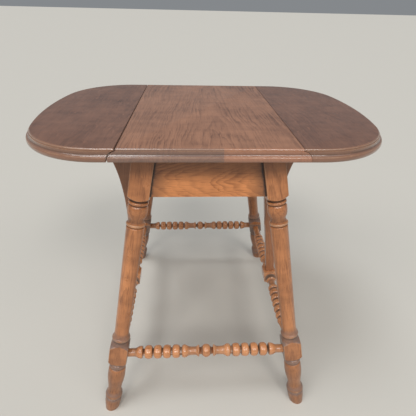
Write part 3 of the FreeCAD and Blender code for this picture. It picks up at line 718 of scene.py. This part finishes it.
def turned_mesh(outline, foot, axes, segments):
    """A solid turned about a leg's axis from (along, radius) points."""
    angles = np.linspace(0, math.tau, segments, endpoint=False)
    circle = np.column_stack([np.cos(angles), np.sin(angles), np.zeros(segments)])
    points = np.concatenate([circle * radius + (0, 0, along) for along, radius in outline])
    last = segments * (len(outline) - 1)
    faces = [list(range(segments))[::-1], list(range(last, last + segments))]
    for low in range(0, last, segments):
        for k in range(segments):
            after = (k + 1) % segments
            faces.append([low + k, low + after, low + segments + after, low + segments + k])
    mesh = bpy.data.meshes.new("turned solid")
    mesh.from_pydata(points @ axes + np.array(foot), [], faces)
    return mesh


def kept_inside(mesh, cutter):
    """The part of a mesh that lies inside another one."""
    work = new_object("work", mesh)
    tool = new_object("tool", cutter)
    modifier = work.modifiers.new("Cut", "BOOLEAN")
    modifier.operation = "INTERSECT"
    modifier.object = tool
    made = made_mesh(work, modifier)
    for item in (work, tool):
        bpy.data.objects.remove(item)
    return made


def shoulder_outline(sizes, low, high, top):
    """Outline that rounds the shoulders of a leg's square, from low to high, and clears the rest of it."""
    half = sizes.leg_stock / 2
    slack, step, clear, beyond, steps = 0.0004, 0.0002, 0.06, 0.03, 12
    corner = half * math.sqrt(2) + slack
    rise = sizes.shoulder_rise
    full, first_rise = between(half, corner, 0.7), rise * 0.29
    past_low, past_high = low - 0.0058, high + 0.005
    points = [(-beyond, clear), (past_low - step, clear), (past_low, half - 0.001), (low, half)]
    points += polyline_arc((low, half), (low + first_rise, full), (low + rise, corner), steps)
    points.append((high - rise, corner))
    points += polyline_arc((high - rise, corner), (high - first_rise, full), (high, half), steps)
    points += [(past_high, half - 0.0015), (past_high + step, clear), (top + beyond, clear)]
    return points


# Vase below a leg's head: distance below the head's top, radius
VASE = (
    (0.1217, 0.0200), (0.1248, 0.0205), (0.1313, 0.0206), (0.1373, 0.0200), (0.1423, 0.0186),
    (0.1458, 0.0164), (0.1473, 0.0156),
)


def fill_vase(mesh, foot, axes, top):
    """Round out the vase below a leg's head; gives the mesh's points as (across, deep, along) the leg."""
    local = (positions(mesh) - np.array(foot)) @ axes.T
    below, radii = zip(*VASE)
    under = top - local[:, 2]
    inside = (under > below[0]) & (under < below[-1])
    wide = np.maximum(np.linalg.norm(local[:, :2], axis=1), 0.001)
    swell = np.where(inside, np.interp(under, below, radii) / wide, 1.0)
    local[:, :2] *= swell[:, None]
    mesh.vertices.foreach_set("co", (local @ axes + np.array(foot)).astype(np.float32).ravel())
    mesh.update()
    return local


# Dust on a leg, and painted sheen on its upward-facing shoulders and rings: place along it, from the stretchers'
# line and from the foot, and strength
LINE_DUST_AND_SHEEN = (
    (-0.042, 0.0), (-0.040, 0.7), (-0.022, 0.7), (-0.018, 0.8), (0.044, 0.8),
    (0.046, 0.3), (0.055, 0.5), (0.062, 0.5), (0.070, 0.0),
)
FOOT_DUST_AND_SHEEN = (
    (0.033, 0.0), (0.035, 0.7), (0.040, 0.7), (0.042, 0.1), (0.047, 0.15),
    (0.049, 0.6), (0.054, 0.5), (0.060, 0.0),
)


def add_leg_wear(mesh, sizes, local, line, on_square, creases, hollow, crest):
    """Wear of a leg: rubbed arrises and creases, dust and painted sheen on the turning, darker low down, and
    painted shade under the top.
    """
    height = local[:, 2]
    inside = sizes.leg_stock - np.abs(local[:, 0]) - np.abs(local[:, 1])
    crest = np.where(on_square, fading(inside, 0.004, 0.9), crest)
    for k in creases:
        crest[list(mesh.edges[k].vertices)] = 0.85
    hollow = np.where(on_square, 0, hollow)
    # Grey dust, which also stands for painted sheen on the shoulders and rings.
    dust = np.interp(height - line, *zip(*LINE_DUST_AND_SHEEN)) + np.interp(height, *zip(*FOOT_DUST_AND_SHEEN))
    # Darker towards the foot, fading out up the leg.
    darker_low = fading(height - 0.048, 0.24, 0.5)
    # Painted shade under the top: darker towards the head of the leg.
    shaded = fading(underside - 0.012 - positions(mesh)[:, 2], 0.035, 0.7)
    store(mesh, "hollow", np.maximum.reduce([hollow, darker_low, shaded]))
    store(mesh, "crest", crest)
    store(mesh, "dust", np.where(on_square, 0, dust * (1 - 0.6 * hollow)))


# Planes across a leg's squares: distance in from a face, and heights of those across the head
FACE_PLANES = (0.0015, 0.004, 0.008, 0.014)
HEAD_PLANES = tuple(np.arange(0.565, 0.675, 0.009))


def leg_cuts(sizes, foot, axes, low, high):
    """Planes that cut up the squares of a leg, so that their wear has points to lie on."""
    step = 0.003
    offsets = [way * (sizes.leg_stock / 2 - back) for way in (-1, 1) for back in FACE_PLANES]
    cuts = [(foot + Vector(axis) * offset, axis) for axis in axes[:2] for offset in offsets]
    heights = (*np.arange(low, high, step), *HEAD_PLANES)
    return cuts + [(foot + Vector(axes[2]) * height, axes[2]) for height in heights]


class TABLE_OT_legs(bpy.types.Operator):
    """The four turned legs"""

    bl_idname = "table.legs"
    bl_label = "Legs"

    def execute(self, context):
        sizes, looks = sizes_and_looks(context)
        tints = (looks.leg_light, looks.leg_dark, looks.grime_and_shade)
        finish = frame_finish(looks, "leg wood", tints, mottle=0.8, dust=looks.leg_dust_and_sheen)
        level = joints["wing_left_pivot"]["pos_m"][2]
        on_face = sizes.leg_stock / 2 - 2e-4
        for number, node in enumerate(nodes_named("leg_")):
            foot, head = leg_axis(node)
            top = (head - foot).length
            along = (head - foot).normalized()
            line = level / along.z
            square = (line - sizes.block_below, line + sizes.block_above)
            axes = grain_axes(along, along.cross((1, 0, 0)))
            rounded = turned_mesh(shoulder_outline(sizes, *square, top), foot, axes, sizes.leg_segments)
            skin = kept_inside(joined_mesh(frame["nodes"][node].data), rounded)
            mesh = joined_mesh(skin, leg_cuts(sizes, foot, axes, *square))
            add_grain(mesh, foot, axes, (0.004 * number, 0.003, 0.9 * number))
            turning = turned_wear(mesh, foot, along)
            local = fill_vase(mesh, foot, axes, top)
            on_square = np.abs(local[:, :2]).max(axis=1) > on_face
            creases = crease_edges(mesh, axes[:2], on_square)
            add_leg_wear(mesh, sizes, local, line, on_square, creases, *turning)
            piece = place_piece(mesh, node.replace("leg_", "turned_leg_"), finish, node)
            for k in creases:
                piece.data.edges[k].use_edge_sharp = True
        return {"FINISHED"}


def leg_side(along, half, heights):
    """How far from the middle of an apron its legs' inner faces stand, at each height."""
    foot, head = leg_axis("leg_back_right")
    lean = Vector(along).dot(foot - head) / (head.z - foot.z)
    return Vector(along).dot(head) + (head.z - heights) * lean - half * math.hypot(1, lean)


class TABLE_OT_aprons(bpy.types.Operator):
    """The four aprons under the top"""

    bl_idname = "table.aprons"
    bl_label = "Aprons"

    def execute(self, context):
        sizes, looks = sizes_and_looks(context)
        tints = (looks.apron_light, looks.apron_dark, looks.grime_and_shade)
        finish = frame_finish(looks, "apron wood", tints, figure=FLAME)
        faces = {"front": (0, -1, 0), "back": (0, 1, 0), "left": (-1, 0, 0), "right": (1, 0, 0)}
        rise, step, reach = 0.012, 0.005, 0.23
        for number, (end, face) in enumerate(faces.items()):
            node = "apron_" + end
            along = (abs(face[1]), abs(face[0]), 0)
            low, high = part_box(node)
            cuts = level_cuts(low.z + rise, high.z, rise)
            cuts += [(Vector(along) * run, along) for run in np.arange(-reach, reach + 0.001, step)]
            mesh = board_mesh(node, along, face, (0.021, 0, 5.0 + number), cuts)
            points = positions(mesh)
            run = np.abs(points @ np.array(along, float))
            inside = leg_side(along, sizes.leg_stock / 2, points[:, 2]) - run
            joint = np.maximum(fading(inside, 0.04, 0.8), fading(inside, 0.0068, 1.7))
            # Painted shade under the top: darker towards the apron's upper edge.
            shaded = fading(underside - 0.018 - points[:, 2], 0.045, 0.8)
            store(mesh, "hollow", np.maximum(joint, shaded))
            place_piece(mesh, node + "_board", finish, node)
        return {"FINISHED"}


class TABLE_OT_wings(bpy.types.Operator):
    """The two wings that hold the leaves up"""

    bl_idname = "table.wings"
    bl_label = "Wings"

    def execute(self, context):
        looks = context.scene.table_finish
        finish = frame_finish(looks, "wing wood", (looks.wing_shaded_light, looks.wing_shaded_dark, looks.grime_and_shade))
        shade, step = 0.25, 0.02
        cuts = level_cuts(underside - shade, underside, step)
        for node in ("wing_left", "wing_right"):
            axis = joints[node + "_pivot"]["axis"]
            mesh = board_mesh(node, axis, (0, 1, 0), (0, 0, 9.0), cuts)
            # Painted shade under the leaves: darker towards the top of the wing.
            store(mesh, "hollow", fading(underside - positions(mesh)[:, 2], shade, 0.6))
            place_piece(mesh, node + "_board", finish, node)
        return {"FINISHED"}


class TABLE_OT_corner_blocks(bpy.types.Operator):
    """The unfinished blocks glued inside the aprons' corners"""

    bl_idname = "table.corner_blocks"
    bl_label = "Corner blocks"

    def execute(self, context):
        pale = context.scene.table_finish.block_wood
        dark = [part * 0.55 for part in pale]
        figure = {"Spacing": 0.005, "Heart": 0.05, "Rise": 0.08, "Wander": 0.02}
        wear = {"Dirt": 0.2, "Rub": 0.0, "Gloss": 0.62}
        tints = (pale, dark, pale, dark)
        finish = wood_finish("bare block wood", tints, figure, wear, bands=0.5, pores=0.5, mottle=0.4)
        for number, node in enumerate(nodes_named("corner_block")):
            low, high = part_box(node)
            middle = (low + high) / 2
            along = (1, -1 if middle.x * middle.y > 0 else 1, 0)
            mesh = board_mesh(node, along, (0, 0, 1), (0, 0, 12.0 + number))
            place_piece(mesh, node + "_wood", finish, node)
        return {"FINISHED"}


def together(tree, *parts):
    """Some geometry joined into one."""
    node = tree.nodes.new("GeometryNodeJoinGeometry")
    for part in parts:
        tree.links.new(part, node.inputs[0])
    return node.outputs[0]


def finished(tree, geometry, inlet, outlet):
    """End a tree: its instances made real, and its material set."""
    real = result(tree, "GeometryNodeRealizeInstances", Geometry=geometry)
    done = result(tree, "GeometryNodeSetMaterial", Geometry=real, Material=inlet["Material"])
    tree.links.new(done, outlet["Geometry"])
    return tree


def swept(tree, line, ring, radius):
    """A turning about a line, with the radius that its points carry."""
    links = {"Curve": line, "Profile_Curve": ring, "Scale": radius, "Fill_Caps": True}
    return result(tree, "GeometryNodeCurveToMesh", **links)


def bead_tree():
    """Spool turning: a turned core with a row of beads along each half of it."""
    inputs = {"Core": "Geometry", "Bead Count": "Int", "Segments": "Int", "Material": "Material"}
    inputs.update(floats("First Bead", "Bead Pitch", "Bead Length", "Bead Radius", "Groove Radius", "Stock"))
    tree, inlet, outlet = new_group("Spool turning", "GeometryNodeTree", inputs, {"Geometry": "Geometry"})
    ring = result(tree, "GeometryNodeCurvePrimitiveCircle", Resolution=inlet["Segments"], Radius=1.0)
    turn = result(tree, "GeometryNodeInputNamedAttribute", {"data_type": "FLOAT"}, Name="turn")
    line = result(tree, "GeometryNodeMeshToCurve", Mesh=inlet["Core"])
    core = swept(tree, line, ring, turn)
    axes = split(tree, tree.nodes.new("GeometryNodeInputPosition").outputs[0])
    wide = sums(tree, "MAXIMUM", sums(tree, "ABSOLUTE", axes["Y"]), sums(tree, "ABSOLUTE", axes["Z"]))
    trim = sums(tree, "DIVIDE", times(tree, inlet["Stock"], 0.5), sums(tree, "MAXIMUM", wide, 0.0001))
    trim = sums(tree, "MINIMUM", 1.0, trim)
    square = point(tree, X=axes["X"], Y=times(tree, axes["Y"], trim), Z=times(tree, axes["Z"], trim))
    core = result(tree, "GeometryNodeSetPosition", Geometry=core, Position=square)
    half = times(tree, inlet["Bead Length"], 0.5)
    start, end = (point(tree, X=times(tree, half, way)) for way in (-1.0, 1.0))
    span = result(tree, "GeometryNodeCurvePrimitiveLine", Start=start, End=end)
    span = result(tree, "GeometryNodeResampleCurve", Curve=span, Count=33)
    rise = sums(tree, "SUBTRACT", inlet["Bead Radius"], inlet["Groove Radius"])
    run = sums(tree, "MINIMUM", 1.0, sums(tree, "DIVIDE", sums(tree, "ABSOLUTE", axes["X"]), half))
    fullness = sums(tree, "POWER", sums(tree, "SUBTRACT", 1.0, sums(tree, "POWER", run, 2.3)), 0.5)
    bead = swept(tree, span, ring, times(tree, rise, fullness, inlet["Groove Radius"]))
    rows = []
    for way in (-1.0, 1.0):
        start = point(tree, X=times(tree, inlet["First Bead"], way))
        step = point(tree, X=times(tree, inlet["Bead Pitch"], way))
        links = {"Count": inlet["Bead Count"], "Start_Location": start, "Offset": step}
        rows.append(result(tree, "GeometryNodeMeshLine", **links))
    places = together(tree, *rows)
    beads = result(tree, "GeometryNodeInstanceOnPoints", Points=places, Instance=bead)
    return finished(tree, together(tree, core, beads), inlet, outlet)


def grown_mesh(source, tree, values):
    """The plain mesh that a Geometry Nodes tree makes from a source mesh."""
    carrier = new_object("carrier", source)
    modifier = carrier.modifiers.new("Tree", "NODES")
    modifier.node_group = tree
    for item in tree.interface.items_tree:
        if item.in_out == "INPUT" and item.name in values:
            modifier[item.identifier] = values[item.name]
    mesh = made_mesh(carrier, modifier)
    bpy.data.objects.remove(carrier)
    return mesh


def turning_core(profile):
    """A line along X whose points carry the turned radius."""
    mesh = bpy.data.meshes.new("turning core")
    count = len(profile)
    mesh.from_pydata([(x, 0, 0) for x, _ in profile], [(k, k + 1) for k in range(count - 1)], [])
    store(mesh, "turn", [radius for _, radius in profile])
    return mesh


# Places along a spool turning: from a lip's groove, from a vase's foot and from a drop's groove
LIP_RUNS = (0.0006, 0.0032, 0.0056, 0.011)
VASE_RUNS = (-0.023, -0.016, -0.011, -0.0045, 0.0001)
DROP_RUNS = (0.0008, 0.0036, 0.0085, 0.0125)


def spool_profile(sizes, first, drop, neck, bored, stop):
    """Half outline of a stretcher without its beads, and the beads' count, pitch and first place. First is
    the outline of its middle, bored the end inside the leg, and stop where that ends."""
    groove, thin = sizes.groove_radius, sizes.neck_radius
    lip, vase, crest = sizes.lip_radius, sizes.vase_radius, sizes.drop_radius
    points = list(first)
    begin = points[-1][0]
    foot = begin + sizes.vase_length
    tail = stop - bored - neck
    tear = tail - drop
    lip_side, lip_top, lip_back, lip_foot = (begin + run for run in LIP_RUNS)
    swell, flank, shoulder, crown, past_foot = (foot + run for run in VASE_RUNS)
    drop_side, drop_top, drop_back, waist = (tear + run for run in DROP_RUNS)

    def bend(middle, end):
        points.extend(polyline_arc(points[-1], middle, end, 10))

    bend((lip_side, groove + 0.0028), (lip_top, lip))
    bend((lip_back, thin + 0.002), (lip_foot, thin))
    points.append((swell, thin))
    bend((flank, thin + 0.0013), (shoulder, vase - 0.0013))
    bend((crown, vase), (foot, groove + 0.002))
    points += [(past_foot, groove), (tear, groove)]
    bend((drop_side, groove + 0.0036), (drop_top, crest))
    bend((drop_back, crest - 0.0008), (waist, thin + 0.0026))
    bend((between(waist, tail, 0.4), thin + 0.0008), (tail, thin))
    points.append((stop, thin))
    zone = tear - foot
    count = max(1, round(zone / sizes.bead_pitch - 1 + sizes.bead_share))
    pitch = zone / (count + 1 - sizes.bead_share)
    return points, count, pitch, foot + pitch * (1 - sizes.bead_share / 2)


def ball_outline(sizes):
    """Half outline of the ball in the middle of a front or back stretcher, to the first lip."""
    groove, half = sizes.groove_radius, sizes.ball_half
    steps = 10
    crest = (0.0, sizes.ball_radius)
    round_side = polyline_arc((-half, groove), crest, (half, groove), 2 * steps)[steps:]
    return [crest, *round_side, (half + sizes.lip_spacing, groove)]


def block_outline(sizes):
    """Half outline of the block in the middle of a side stretcher, to the first lip."""
    groove, stock = sizes.groove_radius, sizes.pivot_block
    corner = stock / math.sqrt(2) + 0.001
    shoulder = (between(sizes.pivot_flat, sizes.pivot_half, 0.75), stock / 2)
    points = [(0.0, corner), (sizes.pivot_flat, corner)]
    points += polyline_arc(points[-1], shoulder, (sizes.pivot_half, groove), 24)
    return [*points, (sizes.pivot_half + sizes.lip_spacing, groove)]


class TABLE_OT_stretchers(bpy.types.Operator):
    """The four spool-turned stretchers"""

    bl_idname = "table.stretchers"
    bl_label = "Stretchers"

    def execute(self, context):
        sizes, looks = sizes_and_looks(context)
        tints = (looks.spool_light, looks.spool_dark, looks.dust)
        finish = frame_finish(looks, "spool wood", tints, gloss=0.24, coat=0.5)
        tree = bead_tree()
        for number, end in enumerate(("front", "back", "left", "right")):
            node = "stretcher_" + end
            low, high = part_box(node)
            if end in ("front", "back"):
                outline = ball_outline(sizes)
                ends = (sizes.front_drop, sizes.front_neck, sizes.front_bored, high.x)
                axes = Matrix.Translation((low + high) / 2)
            else:
                outline = block_outline(sizes)
                ends = (sizes.side_drop, sizes.side_neck, sizes.side_bored, high.y)
                pivot = joints["wing_" + end + "_pivot"]
                up = Vector(pivot["axis"])
                along = Vector((0, 1, 0))
                axes = Matrix((along, up.cross(along), up)).transposed().to_4x4()
                axes = Matrix.Translation(pivot["pos_m"]) @ axes
            points, count, pitch, first = spool_profile(sizes, outline, *ends)
            profile = [(-x, radius) for x, radius in reversed(points[1:])] + points
            values = {
                "First Bead": first,
                "Bead Pitch": pitch,
                "Bead Length": pitch * sizes.bead_spread,
                "Bead Radius": sizes.spool_radius,
                "Groove Radius": sizes.groove_radius,
                "Stock": sizes.pivot_block,
                "Bead Count": count,
                "Segments": sizes.segments,
                "Material": finish,
            }
            mesh = grown_mesh(turning_core(profile), tree, values)
            store(mesh, "grain", positions(mesh)[:, [1, 2, 0]] + np.array((0.003, 0.0, 20.0 + number)))
            hollow, crest = turned_wear(mesh, (0, 0, 0), (1, 0, 0))
            store(mesh, "hollow", hollow)
            store(mesh, "crest", crest * 0.8)
            mesh.transform(axes)
            place_piece(mesh, "spool_" + end, finish, node, 40.0)
        return {"FINISHED"}


HINGE_SCREW = {"Head Radius": 0.0035, "Head Depth": 0.0017, "Shank Radius": 0.00175, "Length": 0.013}
TOP_SCREW = {"Head Radius": 0.0045, "Head Depth": 0.0026, "Shank Radius": 0.0022, "Length": 0.0576}
SLOT = {"Slot Width": 0.0009, "Seed": 7}


def cone(tree, sides, top, bottom, depth):
    links = {"Vertices": sides, "Radius_Top": top, "Radius_Bottom": bottom, "Depth": depth}
    return result(tree, "GeometryNodeMeshCone", {"fill_type": "NGON"}, **links)


def screw_tree():
    """Slotted screws on points."""
    inputs = {"Places": "Geometry", "Seed": "Int", "Material": "Material"}
    inputs.update(floats(*HINGE_SCREW, "Slot Width"))
    tree, inlet, outlet = new_group("Slotted screws", "GeometryNodeTree", inputs, {"Geometry": "Geometry"})
    depth, width, shank = inlet["Head Depth"], inlet["Head Radius"], inlet["Shank Radius"]
    head = cone(tree, 28, shank, width, depth)
    tip = 0.0002
    stem = cone(tree, 20, tip, shank, sums(tree, "SUBTRACT", inlet["Length"], depth))
    lift = point(tree, Z=depth)
    stem = result(tree, "GeometryNodeTransform", Geometry=stem, Translation=lift)
    size = point(tree, X=times(tree, width, 2.4), Y=inlet["Slot Width"], Z=times(tree, depth, 1.1))
    slot = result(tree, "GeometryNodeMeshCube", Size=size)
    cut = result(tree, "GeometryNodeMeshBoolean", {"operation": "DIFFERENCE"}, Mesh_1=head, Mesh_2=slot)
    chance = {"at2": 0.0, "at3": math.pi, "Seed": inlet["Seed"]}
    spin = put(tree, "FunctionNodeRandomValue", {"data_type": "FLOAT"}, **chance).outputs[1]
    links = {"Instance": together(tree, cut, stem), "Rotation": point(tree, Z=spin)}
    screws = result(tree, "GeometryNodeInstanceOnPoints", Points=inlet["Places"], **links)
    return finished(tree, screws, inlet, outlet)


def screw_places(node):
    """Middle of each screw head in a CAD node, on the node's lowest plane."""
    points = positions(frame["nodes"][node].data)
    skin, apart = 1e-5, 0.012
    spots = []
    for place in points[points[:, 2] < points[:, 2].min() + skin]:
        same = [spot for spot in spots if np.hypot(*(spot[-1][:2] - place[:2])) < apart]
        if same:
            same[0].append(place)
        else:
            spots.append([place])
    return [(np.min(spot, axis=0) + np.max(spot, axis=0)) / 2 for spot in spots]


class TABLE_OT_screws(bpy.types.Operator):
    """Slotted hinge screws and the screws that hold the top"""

    bl_idname = "table.screws"
    bl_label = "Screws"

    def execute(self, context):
        finish = steel_finish(context.scene.table_finish)
        tree = screw_tree()
        for node in ("hinge_screws_top", "hinge_screws_leaf_left", "hinge_screws_leaf_right", "top_screws"):
            places = bpy.data.meshes.new("screw places")
            places.from_pydata([tuple(spot) for spot in screw_places(node)], [], [])
            screw = TOP_SCREW if node == "top_screws" else HINGE_SCREW
            mesh = grown_mesh(places, tree, {**screw, **SLOT, "Material": finish})
            place_piece(mesh, node.replace("screws", "slotted_screws"), finish, node)
        return {"FINISHED"}


class TABLE_OT_hinges(bpy.types.Operator):
    """Hinge plates, hinge pins and wing pins, as the frame has them, in dull steel"""

    bl_idname = "table.hinges"
    bl_label = "Hinges and pins"

    def execute(self, context):
        finish = steel_finish(context.scene.table_finish)
        for node, piece in frame["nodes"].items():
            if node.startswith(("hinge_plate", "hinge_pin", "wing_pin")):
                piece.data.materials.clear()
                piece.data.materials.append(finish)
        return {"FINISHED"}


WARM = (1.0, 0.98, 0.95)
PALE = (1.0, 0.99, 0.97)
COOL = (0.92, 0.96, 1.0)

# Lights: where each comes from, its spread in degrees, its strength and its tint
LIGHTS = {
    "front left light": ((-0.22, -0.68, 0.70), 18.0, 0.95, WARM),
    "front right light": ((0.27, -0.66, 0.70), 18.0, 0.8, WARM),
    "left light": ((-0.60, -0.42, 0.68), 30.0, 0.5, PALE),
    "right light": ((0.55, -0.46, 0.70), 30.0, 0.32, PALE),
    "overhead light": ((-0.30, -0.05, 0.95), 24.0, 1.0, COOL),
}


def soft_sun(name, towards, spread, strength, tint):
    """A wide soft light from one direction."""
    data = bpy.data.lights.new(name, "SUN")
    data.angle = math.radians(spread)
    data.energy = strength
    data.color = tint
    lamp = new_object(name, data)
    lamp.rotation_euler = Vector(towards).to_track_quat("Z", "Y").to_euler()


def add_camera(scene, stage):
    """The camera, at its place and turned by its yaw, pitch and roll."""
    eye = bpy.data.cameras.new("eye")
    eye.lens = stage.lens
    eye.clip_start = 0.01
    eye.clip_end = 200.0
    turns = ((-stage.yaw, "Z"), (math.pi / 2 - stage.pitch, "X"), (stage.roll, "Z"))
    axes = Matrix.Translation((stage.eye_x, stage.eye_y, stage.eye_z))
    for turned, axis in turns:
        axes = axes @ Matrix.Rotation(turned, 4, axis)
    camera = new_object("eye", eye)
    camera.matrix_world = axes
    scene.camera = camera


class TABLE_OT_stage(bpy.types.Operator):
    """Plain pale floor, soft light and the camera"""

    bl_idname = "table.stage"
    bl_label = "Stage"

    def execute(self, context):
        scene = context.scene
        stage = scene.table_stage
        mesh = bpy.data.meshes.new("floor")
        half = stage.floor_half
        corners = [(-half, -half, 0), (half, -half, 0), (half, half, 0), (-half, half, 0)]
        mesh.from_pydata(corners, [], [(0, 1, 2, 3)])
        paint, tree = new_material("pale floor")
        surface(tree, Base_Color=rgba(stage.floor), Roughness=0.85)
        mesh.materials.append(paint)
        new_object("floor", mesh)
        world = bpy.data.worlds.new("soft sky")
        world.use_nodes = True
        sky = world.node_tree.nodes["Background"]
        sky.inputs["Color"].default_value = rgba(stage.sky)
        sky.inputs["Strength"].default_value = stage.sky_strength
        scene.world = world
        for name, light in LIGHTS.items():
            soft_sun(name, *light)
        add_camera(scene, stage)
        scene.view_settings.view_transform = "Standard"
        return {"FINISHED"}


PIECES = (
    TABLE_OT_centre_board,
    TABLE_OT_leaves,
    TABLE_OT_legs,
    TABLE_OT_aprons,
    TABLE_OT_stretchers,
    TABLE_OT_wings,
    TABLE_OT_corner_blocks,
    TABLE_OT_hinges,
    TABLE_OT_screws,
    TABLE_OT_stage,
)


class TABLE_PT_pieces(bpy.types.Panel):
    """Pieces of the table and their settings"""

    bl_idname = "TABLE_PT_pieces"
    bl_label = "Butterfly table"
    bl_space_type = "VIEW_3D"
    bl_region_type = "UI"
    bl_category = "Table"

    def draw(self, context):
        for piece in PIECES:
            self.layout.operator(piece.bl_idname)
        for group in (context.scene.table_sizes, context.scene.table_finish, context.scene.table_stage):
            for name in group.bl_rna.properties.keys():
                if name not in ("rna_type", "name"):
                    self.layout.prop(group, name)


CLASSES = (TableSizes, TableFinish, TableStage, *PIECES, TABLE_PT_pieces)


def register():
    for item in CLASSES:
        bpy.utils.register_class(item)
    bpy.types.Scene.table_sizes = PointerProperty(type=TableSizes)
    bpy.types.Scene.table_finish = PointerProperty(type=TableFinish)
    bpy.types.Scene.table_stage = PointerProperty(type=TableStage)


def unregister():
    del bpy.types.Scene.table_stage
    del bpy.types.Scene.table_finish
    del bpy.types.Scene.table_sizes
    for item in reversed(CLASSES):
        bpy.utils.unregister_class(item)


def main():
    register()
    bpy.ops.table.centre_board()
    bpy.ops.table.leaves()
    bpy.ops.table.legs()
    bpy.ops.table.aprons()
    bpy.ops.table.stretchers()
    bpy.ops.table.wings()
    bpy.ops.table.corner_blocks()
    bpy.ops.table.hinges()
    bpy.ops.table.screws()
    bpy.ops.table.stage()


if __name__ == "__main__":
    main()
